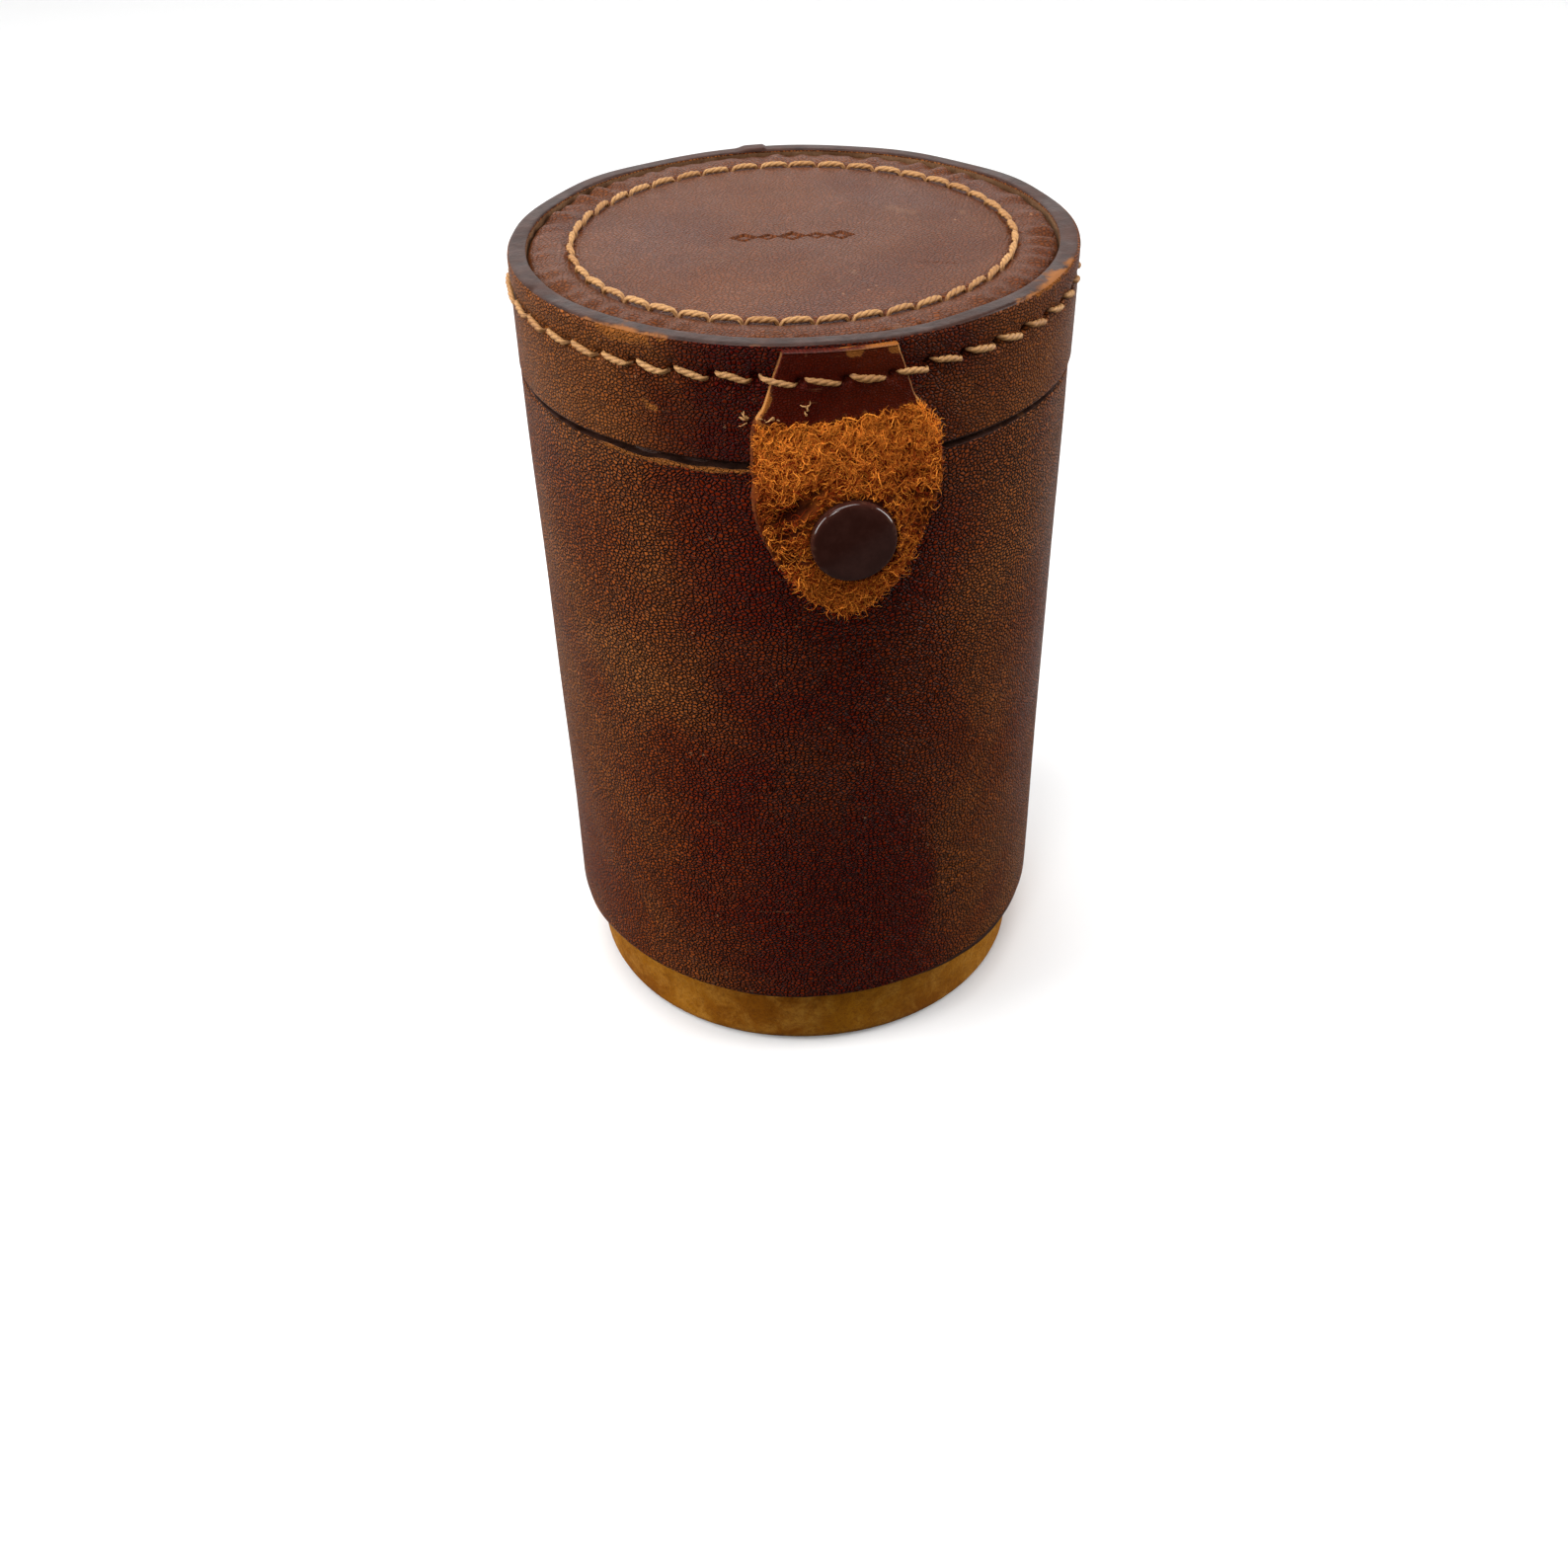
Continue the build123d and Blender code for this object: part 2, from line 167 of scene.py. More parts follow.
def make_piece(name, points, faces, materials, face_material=None, flat=None, **attributes):
    """A smooth mesh object that keeps its rest positions, so that the grain stays put when it bends.

    flat gives each point its place on the unrolled leather, for the pebble grain.
    """
    mesh = bpy.data.meshes.new(name)
    mesh.from_pydata(points.tolist(), [], faces)
    for material in materials:
        mesh.materials.append(material)
    if face_material is not None:
        mesh.polygons.foreach_set("material_index", np.asarray(face_material, dtype=np.int32))
    mesh.polygons.foreach_set("use_smooth", [True] * len(mesh.polygons))
    layers = [("rest", "FLOAT_VECTOR", "vector", points)]
    if flat is not None:
        layers.append(("flat", "FLOAT_VECTOR", "vector", np.pad(flat, ((0, 0), (0, 1)))))
    layers += [(key, "FLOAT", "value", values) for key, values in attributes.items()]
    for key, kind, field, values in layers:
        layer = mesh.attributes.new(key, kind, "POINT")
        layer.data.foreach_set(field, np.asarray(values, dtype=np.float32).ravel())
    mesh.update()
    piece = bpy.data.objects.new(name, mesh)
    bpy.context.scene.collection.objects.link(piece)
    return piece


def grid_faces(rows, columns, wrap_rows=True, wrap_columns=True):
    """Quads over a grid of points stored row by row."""
    i = np.arange(rows if wrap_rows else rows - 1)
    j = np.arange(columns if wrap_columns else columns - 1)
    i, j = (a.ravel() for a in np.meshgrid(i, j, indexing="ij"))
    up, along = (i + 1) % rows, (j + 1) % columns
    corners = [i * columns + j, up * columns + j, up * columns + along, i * columns + along]
    return np.stack(corners, 1).tolist()


def tube_faces(rows, columns):
    """Faces of a tube of closed rings, with both ends filled."""
    start, end = list(range(columns))[::-1], [(rows - 1) * columns + k for k in range(columns)]
    return grid_faces(rows, columns, wrap_rows=False) + [start, end]


def rounded_outline(corners):
    """Dense closed outline through (x, y, rounding, step) corners given anticlockwise.

    The step is the spacing of the points from that corner to the next one.
    """
    places = np.array(corners)[:, :2]
    arcs = []
    for k, (_, _, radius, _) in enumerate(corners):
        here = places[k]
        if radius == 0:
            arcs.append(here[None])
            continue
        back, ahead = unit(places[k - 1] - here), unit(places[(k + 1) % len(places)] - here)
        half = math.acos(np.clip(back @ ahead, -1, 1)) / 2
        middle = here + unit(back + ahead) * radius / math.sin(half)
        start, end = (here + way * radius / math.tan(half) - middle for way in (back, ahead))
        first = math.atan2(start[1], start[0])
        turn = around(math.degrees(math.atan2(end[1], end[0]) - first), 0)
        parts = max(4, int(abs(math.radians(turn)) * radius / (0.3 * MM)) + 2)
        angle = first + math.radians(turn) * np.linspace(0, 1, parts)
        arcs.append(middle + radius * np.stack([np.cos(angle), np.sin(angle)], 1))
    outline = []
    for arc, following, corner in zip(arcs, arcs[1:] + arcs[:1], corners):
        run = following[0] - arc[-1]
        pieces = max(1, int(np.linalg.norm(run) / corner[3]))
        outline += [arc, arc[-1] + run * (np.arange(1, pieces) / pieces)[:, None]]
    return np.concatenate(outline)


def hand_stain(az, level):
    """Painted shade: the leather darkened at the front, below the tab and round the middle of the band, as if
    lit less than the sides.
    """
    front = smoothstep(56, 8, np.abs(around(az, -4)))
    return front * (0.92 + 0.12 * ripple(az, level * 40, 17, highest=5))


def lathe(name, outline, segments, materials, relief=None, wear=None, pick=None, lap_azimuth=180.0):
    """Turns a closed (radius, level) outline about Z and pushes it in or out along its normals.

    relief and wear are called with azimuth, radius, level and the outward and upward parts of
    the normal; pick gives each point of the outline the number of its material.
    """
    azimuth = np.arange(segments) * 360 / segments
    tangent = unit(np.roll(outline, -1, axis=0) - np.roll(outline, 1, axis=0))
    az, radius = np.meshgrid(azimuth, outline[:, 0], indexing="ij")
    level = np.broadcast_to(outline[:, 1], az.shape)
    out = np.broadcast_to(tangent[:, 1], az.shape)
    rise = np.broadcast_to(-tangent[:, 0], az.shape)
    push = relief(az, radius, level, out, rise) if relief else np.zeros(az.shape)
    points = wall_point(az, radius + out * push, level + rise * push).reshape(-1, 3)
    faces = grid_faces(segments, len(outline))
    worn = wear(az, radius, level, out, rise) if wear else np.zeros(az.shape)
    chosen = np.tile(pick(outline, tangent), segments) if pick else None
    # Unrolled: along the sheet, which ends at its lap joint, and across it along the outline.
    steps = np.linalg.norm(np.diff(outline, axis=0), axis=1)
    across = np.broadcast_to(np.concatenate([[0], np.cumsum(steps)]), az.shape)
    along = np.radians(around(az, lap_azimuth - 180)) * outline[:, 0].max()
    flat = np.stack([along, across], -1).reshape(-1, 2)
    # Each point also carries its share of painted shade at the front.
    return make_piece(name, points, faces, materials, chosen, flat, wear=worn, stain=hand_stain(az, level))


# --- Materials -------------------------------------------------------------------------

class Nodes:
    """A node tree with short calls for the nodes that the materials and the surroundings need."""

    def __init__(self, tree):
        self.tree = tree

    def node(self, kind, inputs=None, **settings):
        """Adds a node with its settings, and fills the inputs that are given."""
        made = self.tree.nodes.new(kind)
        for key, value in settings.items():
            setattr(made, key, value)
        for key, value in (inputs or {}).items():
            self.put(made.inputs[key], value)
        return made

    def put(self, socket, value):
        """Links a socket to another, or sets its value."""
        if isinstance(value, bpy.types.NodeSocket):
            self.tree.links.new(value, socket)
        elif isinstance(value, tuple) and len(value) == 3 and socket.type == "RGBA":
            socket.default_value = (*value, 1)
        else:
            socket.default_value = value

    def span(self, value, low, high, to_low=0.0, to_high=1.0):
        """Maps low..high to to_low..to_high, clamped and smooth."""
        inputs = {"Value": value, "From Min": low, "From Max": high, "To Min": to_low, "To Max": to_high}
        return self.node("ShaderNodeMapRange", inputs, interpolation_type="SMOOTHSTEP").outputs["Result"]

    def sum(self, a, b, operation="ADD"):
        return self.node("ShaderNodeMath", {0: a, 1: b}, operation=operation).outputs[0]

    def times(self, a, b):
        return self.sum(a, b, "MULTIPLY")


class Shade(Nodes):
    """A surface material; its patterns follow the rest positions, or the object's own if rest is off."""

    def __init__(self, name, rest=True):
        self.material = bpy.data.materials.new(name)
        self.material.use_nodes = True
        super().__init__(self.material.node_tree)
        self.surface = self.tree.nodes["Principled BSDF"]
        if rest:
            self.place = self.attribute("rest", "Vector")
        else:
            self.place = self.node("ShaderNodeTexCoord").outputs["Object"]

    def set(self, **values):
        """Sets sockets of the surface shader, named with underscores for spaces."""
        for key, value in values.items():
            self.put(self.surface.inputs[key.replace("_", " ")], value)

    def attribute(self, name, output="Fac"):
        return self.node("ShaderNodeAttribute", attribute_name=name).outputs[output]

    def stretched(self, scale, turn=(0, 0, 0), place=None):
        inputs = {"Vector": place or self.place, "Scale": scale, "Rotation": turn}
        return self.node("ShaderNodeMapping", inputs).outputs["Vector"]

    def noise(self, scale, detail=3, roughness=0.5, distortion=0.0, place=None):
        inputs = {"Vector": place or self.place, "Scale": scale, "Detail": detail}
        inputs.update(Roughness=roughness, Distortion=distortion)
        return self.node("ShaderNodeTexNoise", inputs).outputs["Fac"]

    def warped(self, scale, amount, place):
        """A place shifted by noise, in metres."""
        made = self.node("ShaderNodeTexNoise", {"Vector": self.place, "Scale": scale})
        math_node = "ShaderNodeVectorMath"
        centred = self.node(math_node, {0: made.outputs["Color"], 1: (0.5, 0.5, 0.5)}, operation="SUBTRACT")
        scaled = self.node(math_node, {0: centred.outputs[0], "Scale": amount}, operation="SCALE")
        return self.node(math_node, {0: place, 1: scaled.outputs[0]}, operation="ADD").outputs[0]

    def cells(self, scale, feature="F1", place=None, dimensions="3D"):
        inputs = {"Vector": place or self.place, "Scale": scale}
        made = self.node("ShaderNodeTexVoronoi", inputs, feature=feature, voronoi_dimensions=dimensions)
        return made.outputs["Distance"]

    def mix(self, share, a, b, blend="MIX"):
        inputs = {"Factor": share, 6: a, 7: b}
        return self.node("ShaderNodeMix", inputs, data_type="RGBA", blend_type=blend).outputs[2]

    def bump(self, height, distance, strength=1.0, after=None):
        inputs = {"Height": height, "Distance": distance, "Strength": strength}
        if after is not None:
            inputs["Normal"] = after
        return self.node("ShaderNodeBump", inputs).outputs["Normal"]


def grain_leather(
    name, dark, mid, light, grain=1450.0, gloss=0.42, specular=0.055, grain_depth=0.38, contrast=1.1
):
    """Finished grain leather: pebbled and mottled, with painted shade at the front, painted highlights on the
    pebble tops and painted shade in their creases, and suede where worn.
    """
    shade = Shade(name)
    broad = shade.span(shade.noise(26, 3, 0.55, 0.6), 0.34, 0.66)
    cloudy = shade.span(shade.noise(75, 4, 0.6, 0.4), 0.42, 0.72)
    fine = shade.noise(900, 3, 0.6)
    colour = shade.mix(broad, mid, light)
    colour = shade.mix(shade.times(cloudy, 0.45), colour, tuple(1.35 * c for c in light))
    # Painted shade: the front darkened towards the dark colour, with random blots anywhere.
    blots = shade.span(shade.noise(48, 4, 0.6, 0.5), 0.3, 0.7, -0.22, 0.2)
    stain = shade.sum(shade.attribute("stain"), blots)
    colour = shade.mix(shade.span(stain, 0.1, 0.95), colour, dark)
    colour = shade.mix(shade.span(fine, 0.4, 0.75, 0.0, 0.3), colour, tuple(1.5 * c for c in mid))
    # Pebble grain: rounded cells between fine creases; the colour is painted lighter on the tops as painted
    # highlights and darker in the creases as painted shade.
    place = shade.warped(700, 0.7 * MM, shade.attribute("flat", "Vector"))
    place = shade.stretched((1, 1.35, 1), place=place)
    crease = shade.cells(grain, "DISTANCE_TO_EDGE", place, dimensions="2D")
    pebble = shade.span(crease, 0.0, 0.3)
    painted_light_and_shade = shade.span(crease, 0.02, 0.36, 1 - 0.76 * contrast, 1 + 0.58 * contrast)
    uneven = shade.span(shade.noise(1000, 2), 0.3, 0.7, 1 - 0.16 * contrast, 1 + 0.16 * contrast)
    colour = shade.mix(1.0, colour, shade.times(painted_light_and_shade, uneven), "MULTIPLY")
    # Dust and small chips in the finish.
    speck = shade.span(shade.cells(330), 0.05, 0.09, 1.0, 0.0)
    chosen = shade.span(shade.noise(140, 2), 0.5, 0.6)
    colour = shade.mix(shade.times(shade.times(speck, chosen), 0.7), colour, (0.36, 0.17, 0.08))
    # Fine scratches.
    scratch = shade.noise(160, 3, 0.6, 0.2, shade.stretched((1, 1, 9), (0.5, 0.9, 0.3)))
    scratched = shade.times(shade.span(scratch, 0.66, 0.72), 0.35)
    colour = shade.mix(scratched, colour, (0.2, 0.085, 0.035))
    # Worn places.
    ragged = shade.sum(shade.times(shade.noise(420, 5, 0.7, 0.8), 1.3), shade.attribute("wear"))
    worn = shade.span(ragged, 1.2, 1.32)
    edge_worn = shade.span(ragged, 1.05, 1.3)
    suede = shade.mix(shade.noise(1500, 4, 0.7), (0.36, 0.12, 0.022), (0.17, 0.05, 0.01))
    colour = shade.mix(shade.times(edge_worn, 0.5), colour, (0.14, 0.05, 0.018))
    colour = shade.mix(worn, colour, suede)
    height = shade.sum(pebble, shade.times(fine, 0.5))
    normal = shade.bump(height, grain_depth * MM, 1.0)
    normal = shade.bump(shade.noise(260, 3), 0.12 * MM, 0.8, normal)
    normal = shade.bump(worn, 0.12 * MM, -0.8, normal)
    rough = shade.span(shade.noise(45, 3), 0.3, 0.7, gloss - 0.05, gloss + 0.1)
    rough = shade.sum(rough, shade.times(worn, 0.4))
    shade.set(Base_Color=colour, Roughness=rough, Normal=normal, Specular_IOR_Level=specular)
    shade.set(Sheen_Weight=0.025, Sheen_Roughness=0.2, Sheen_Tint=(1.0, 0.9, 0.82))
    return shade.material


def cut_edge(name, dark, mid, worn_colour, gloss=0.45):
    """Burnished cut edge of leather: layered streaks, with tan wear patches."""
    shade = Shade(name)
    streak = shade.noise(420, 4, 0.65, 0.3, shade.stretched((1, 1, 3)))
    patch = shade.noise(85, 4, 0.6, 0.5)
    colour = shade.mix(shade.span(streak, 0.3, 0.7), dark, mid)
    ragged = shade.sum(shade.times(shade.noise(300, 4, 0.7, 0.6), 1.2), shade.attribute("wear"))
    worn = shade.span(ragged, 1.02, 1.28)
    colour = shade.mix(worn, colour, worn_colour)
    colour = shade.mix(shade.span(patch, 0.45, 0.75, 0.0, 0.5), colour, tuple(1.7 * c for c in mid))
    normal = shade.bump(streak, 0.16 * MM, 0.9)
    normal = shade.bump(shade.noise(1400, 4, 0.7), 0.06 * MM, 0.8, normal)
    rough = shade.sum(shade.span(patch, 0.3, 0.7, gloss - 0.08, gloss + 0.1), shade.times(worn, 0.3))
    shade.set(Base_Color=colour, Roughness=rough, Normal=normal, Specular_IOR_Level=0.14)
    return shade.material


def raw_leather(name, dark, mid, light, rest=True, nap=1500.0, nap_depth=0.12):
    """Undyed or worn leather: napped, mottled and dull, with painted shade in creases."""
    shade = Shade(name, rest)
    broad = shade.span(shade.noise(55, 4, 0.6, 0.5), 0.32, 0.68)
    blotch = shade.span(shade.noise(240, 4, 0.65, 0.6), 0.4, 0.7)
    fibre = shade.noise(nap, 5, 0.75, 1.2)
    colour = shade.mix(broad, dark, mid)
    colour = shade.mix(shade.times(blotch, 0.6), colour, light)
    colour = shade.mix(shade.span(fibre, 0.3, 0.6, 0.6, 0.0), colour, tuple(0.45 * c for c in dark))
    # Painted shade in the tab's folds, from the crease attribute.
    colour = shade.mix(shade.times(shade.attribute("crease"), 0.7), colour, tuple(0.5 * c for c in dark))
    normal = shade.bump(fibre, nap_depth * MM, 1.0)
    normal = shade.bump(shade.noise(380, 3, 0.6), 0.12 * MM, 0.8, normal)
    shade.set(Base_Color=colour, Roughness=0.88, Normal=normal, Specular_IOR_Level=0.1)
    shade.set(Sheen_Weight=0.05, Sheen_Roughness=0.4, Sheen_Tint=(0.9, 0.6, 0.35))
    return shade.material


def fibre_material():
    """Loose suede fibres, each with its own shade."""
    shade = Shade("suede_fibre")
    tone = shade.attribute("tone")
    colour = shade.mix(tone, (0.19, 0.018, 0.001), (1.0, 0.33, 0.038))
    colour = shade.mix(shade.span(shade.noise(160, 3), 0.35, 0.65, 0.0, 0.35), colour, (0.34, 0.06, 0.004))
    normal = shade.bump(shade.noise(4000, 2), 0.02 * MM, 0.6)
    shade.set(Base_Color=colour, Roughness=0.8, Normal=normal, Specular_IOR_Level=0.08)
    return shade.material


def thread_material():
    """Waxed twisted thread, with painted shade between the strands and in its holes."""
    shade = Shade("thread")
    tone = shade.attribute("tone")
    depth = shade.attribute("depth")
    fibre = shade.noise(2600, 3, 0.6, 0.4)
    colour = shade.mix(tone, (0.36, 0.16, 0.046), (0.62, 0.34, 0.13))
    colour = shade.mix(shade.span(fibre, 0.35, 0.7, 0.45, 0.0), colour, (0.24, 0.1, 0.03))
    # Painted shade between the strands and in the holes.
    colour = shade.mix(shade.times(depth, 0.8), colour, (0.13, 0.045, 0.014))
    normal = shade.bump(fibre, 0.05 * MM, 0.8)
    shade.set(Base_Color=colour, Roughness=0.62, Normal=normal, Specular_IOR_Level=0.35)
    return shade.material


def enamel_material():
    """Glossy dark brown enamel with fine rubbing marks."""
    shade = Shade("cap_enamel")
    rub = shade.noise(900, 3, 0.6, 0.1, shade.stretched((1, 1, 7), (0, 0.5, 0)))
    cloud = shade.noise(500, 4, 0.6)
    colour = shade.mix(shade.span(cloud, 0.35, 0.7), (0.033, 0.009, 0.006), (0.045, 0.014, 0.01))
    chip = shade.times(shade.attribute("wear"), shade.span(shade.noise(1500, 3), 0.52, 0.64, 0.0, 0.4))
    colour = shade.mix(chip, colour, (0.12, 0.06, 0.035))
    normal = shade.bump(rub, 0.006 * MM, 0.5)
    rough = shade.span(rub, 0.3, 0.7, 0.07, 0.13)
    shade.set(Base_Color=colour, Roughness=rough, Normal=normal, Specular_IOR_Level=0.5)
    return shade.material


def metal_material():
    """Dull plated brass of the hidden snap parts."""
    shade = Shade("snap_metal", rest=False)
    cloud = shade.noise(600, 4, 0.6)
    brushed = shade.noise(1800, 3, 0.6, 0, shade.stretched((1, 6, 1)))
    colour = shade.mix(shade.span(cloud, 0.35, 0.7), (0.55, 0.42, 0.22), (0.34, 0.25, 0.13))
    normal = shade.bump(brushed, 0.01 * MM, 0.6)
    rough = shade.span(cloud, 0.3, 0.7, 0.26, 0.45)
    shade.set(Base_Color=colour, Metallic=1.0, Roughness=rough, Normal=normal)
    return shade.material


cover_leather = grain_leather(
    "cover_leather", (0.094, 0.0052, 0.0008), (0.137, 0.025, 0.0035), (0.185, 0.058, 0.013)
)
band_leather = grain_leather(
    "band_leather", (0.054, 0.002, 0.0005), (0.12, 0.023, 0.004), (0.19, 0.06, 0.013),
    grain=1600.0, gloss=0.4, grain_depth=0.25, contrast=0.85,
)
top_leather = grain_leather(
    "top_leather", (0.06, 0.0085, 0.001), (0.085, 0.017, 0.002), (0.118, 0.031, 0.005),
    grain=1500.0, gloss=0.38, specular=0.155, grain_depth=0.12, contrast=0.5,
)
tab_leather = grain_leather(
    "tab_leather", (0.05, 0.003, 0.001), (0.075, 0.006, 0.0015), (0.12, 0.02, 0.004),
    grain=2300.0, gloss=0.36, grain_depth=0.05, contrast=0.4,
)
rim_edge = cut_edge("rim_edge", (0.022, 0.008, 0.005), (0.055, 0.024, 0.017), (0.27, 0.1, 0.028), 0.45)
torn_edge = cut_edge("torn_edge", (0.09, 0.03, 0.008), (0.24, 0.09, 0.02), (0.42, 0.18, 0.05), 0.7)
tan_leather = raw_leather("tan_leather", (0.22, 0.065, 0.001), (0.38, 0.14, 0.005), (0.5, 0.22, 0.03))
worn_suede = raw_leather(
    "worn_suede", (0.055, 0.006, 0.0006), (0.14, 0.022, 0.0015), (0.3, 0.075, 0.008),
    nap=1100.0, nap_depth=0.3,
)
flesh_side = raw_leather("flesh_side", (0.11, 0.05, 0.022), (0.19, 0.095, 0.045), (0.27, 0.15, 0.08))
thread = thread_material()
enamel = enamel_material()
suede_fibre = fibre_material()

# --- Lid --------------------------------------------------------------------------------

seam_pitch = 360 / band_stitches
seam_phase = -4.3               # azimuth of a stitch's middle, in degrees
tab_reach_at_seam = 12.5        # degrees either side of the tab's middle
strap_reach_at_seam = 15.0
lap_azimuth = 180.0             # the band's skived lap joint, opposite the tab


def band_relief(az, radius, level, out, rise):
    """Seam channel, awl holes, lap joint and a little unevenness in the band."""
    outer = smoothstep(0.6, 0.95, out)
    top = smoothstep(0.5, 0.9, rise)
    push = 0.10 * MM * ripple(az, level * 90, 3) * outer
    push -= 0.30 * MM * bell(level - seam_level, 1.0) * outer
    hole = seam_phase + seam_pitch / 2
    along = np.abs(around(az, np.round((az - hole) / seam_pitch) * seam_pitch + hole))
    distance = np.hypot(np.radians(along) * radius, level - seam_level)
    push -= 1.0 * MM * bell(distance, 0.55) * outer
    lap = smoothstep(-3.4, -3.0, around(az, lap_azimuth)) * smoothstep(3.6, 1.0, around(az, lap_azimuth))
    push += 0.32 * MM * lap * np.maximum(outer, top)
    push += 0.12 * MM * ripple(az, 0, 8, lowest=2, highest=14) * top
    corner = np.hypot(radius - lid_radius, level - rim_level)
    push -= 0.4 * MM * facing(az, -70, 1.2) * bell(corner, 0.8)
    return push


def band_wear(az, radius, level, out, rise):
    """Worn places on the rim's corner and on the band."""
    drop = rim_level - level
    corner = bell(np.hypot(radius - lid_radius, level - rim_level), 0.9)
    below_rim = facing(az, -42, 10) * bell(drop - 1.2 * MM, 1.5)
    wall_scuff = np.maximum(
        facing(az, -36.5, 4.2) * bell(drop - 9.7 * MM, 0.6),
        facing(az, -38, 1.1) * bell(drop - 9.0 * MM, 0.9),
    )
    right_rim = facing(az, 50, 16) * bell(drop - 0.2 * MM, 2.2)
    foot = bell(level - lid_foot, 0.5)
    seam = bell(level - seam_level, 1.1) * (0.25 + 0.2 * np.abs(ripple(az, 0, 5, highest=9)))
    return 0.30 * corner + 0.72 * below_rim + 0.8 * wall_scuff + 0.46 * right_rim + 0.16 * foot + 0.12 * seam


def build_lid_band():
    """Thick leather band with its cut rim showing on top."""
    bore = disc_radius
    corners = [
        (bore - 0.7 * MM, lid_foot, 0.3 * MM, 0.4 * MM),
        (lid_radius, lid_foot, 0.45 * MM, 0.38 * MM),
        (lid_radius, rim_level, 0.7 * MM, 0.35 * MM),
        (bore, rim_level, 0.35 * MM, 0.8 * MM),
        (bore, disc_low[2], 0.1 * MM, 0.4 * MM),
        (bore - 0.7 * MM, disc_low[2] - 0.3 * MM, 0.1 * MM, 1.5 * MM),
    ]
    outline = rounded_outline(corners)

    def pick(line, tangent):
        up = -tangent[:, 0]
        inside = line[:, 0] < bore + 0.02 * MM
        return np.where(inside, 2, np.where(np.abs(up) > 0.55, 1, 0))

    materials = [band_leather, rim_edge, flesh_side]
    band = lathe("lid_band_leather", outline, band_segments, materials, band_relief, band_wear, pick)
    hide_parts("lid_band")
    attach(band, "lid")


def lozenge_row(x, y):
    """A blind-stamped row of five plain lozenges; 1 inside a lozenge."""
    mark = np.zeros(x.shape)
    for k in range(-2, 3):
        size = (1.2 if k % 2 else 1.6) * MM
        reach = np.abs(x - 3.4 * k * MM) / (1.25 * size) + np.abs(y) / size
        mark = np.maximum(mark, smoothstep(1.12, 0.88, reach))
        mark -= 0.75 * smoothstep(0.58, 0.42, reach)
    return np.clip(mark, 0, 1)


def stamped_row(az, radius):
    """The lozenge row in the middle of the lid, turned a few degrees."""
    x, y = radius * np.sin(np.radians(az)), -radius * np.cos(np.radians(az))
    turn = math.radians(-7)
    return lozenge_row(x * math.cos(turn) + y * math.sin(turn), y * math.cos(turn) - x * math.sin(turn))


def top_relief(az, radius):
    """Height of the blocked top: gathered margin, stitch channel, awl holes and a stamped row."""
    margin = smoothstep(top_ring_radius + 0.4 * MM, disc_radius - 1.4 * MM, radius)
    fold = ripple(az, 0, 21, waves=26, lowest=26, highest=66)
    strength = 0.35 + 0.65 * np.abs(np.sin(np.radians(az)))
    height = 0.34 * MM * fold * margin * strength
    height += 0.28 * MM * bell(radius - (top_ring_radius + disc_radius) / 2, 1.4)
    height -= 0.32 * MM * bell(radius - top_ring_radius, 0.8)
    pitch = 360 / top_stitches
    along = np.radians(np.abs(around(az, np.round(az / pitch - 0.5) * pitch + pitch / 2))) * radius
    height -= 0.55 * MM * bell(np.hypot(along, radius - top_ring_radius), 0.55)
    height += 0.22 * MM * ripple(az, radius * 60, 31, highest=3) * smoothstep(0, 12 * MM, radius)
    x, y = radius * np.sin(np.radians(az)), -radius * np.cos(np.radians(az))
    height -= 0.38 * MM * stamped_row(az, radius)
    crease = bell((x - 17.5 * MM) * 0.3 + (y + 14.6 * MM), 0.16) * bell(x - 17.5 * MM, 2.6)
    return height - 0.14 * MM * crease


def build_lid_top():
    """Top disc with its margin gathered and turned down inside the band."""
    edge_round = 1.3 * MM
    flat = np.concatenate([
        np.linspace(axis_gap, 9 * MM, 45),
        np.linspace(9 * MM, 26.5 * MM, 22)[1:],
        np.linspace(26.5 * MM, disc_radius - edge_round, 31)[1:],
    ])
    rings = len(flat)
    bend = np.radians(np.linspace(0, 90, 9)[1:])
    seat = disc_radius - 0.08 * MM
    skirt = np.linspace(disc_level - edge_round, disc_low[2], 12)[1:]
    under = board_high[2]       # the lid's board closes the top from below
    outline = np.concatenate([
        np.stack([flat, np.full(rings, disc_level)], 1),
        np.stack([seat - edge_round * (1 - np.sin(bend)), disc_level - edge_round * (1 - np.cos(bend))], 1),
        np.stack([np.full(11, seat), skirt], 1),
        np.array([[skirt_bore, disc_low[2]], [skirt_bore, under], [axis_gap, under]]),
    ])
    az, radius = np.meshgrid(np.arange(top_segments) * 360 / top_segments, outline[:, 0], indexing="ij")
    level = np.broadcast_to(outline[:, 1], az.shape).copy()
    top_count = rings + len(bend)
    raised = top_relief(az[:, :top_count], radius[:, :top_count])
    level[:, :top_count] += raised * smoothstep(disc_radius, disc_radius - edge_round, radius[:, :top_count])
    points = wall_point(az, radius, level).reshape(-1, 3)
    count = len(outline)
    faces = [face[::-1] for face in grid_faces(top_segments, count, wrap_columns=False)]
    faces.append([i * count for i in range(top_segments)])
    faces.append([i * count + count - 1 for i in reversed(range(top_segments))])
    groove = bell(radius - disc_radius, 0.5)
    wear = 0.30 * bell(radius - (disc_radius - 1.6 * MM), 0.9) * np.abs(ripple(az, 0, 4, highest=30))
    wear[:, :top_count] += 0.42 * stamped_row(az[:, :top_count], radius[:, :top_count])
    top = make_piece(
        "lid_top_leather", points, faces, [top_leather], flat=points[:, :2], wear=wear - groove * 0.2
    )
    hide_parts("lid_top")
    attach(top, "lid")


# --- Thread -----------------------------------------------------------------------------

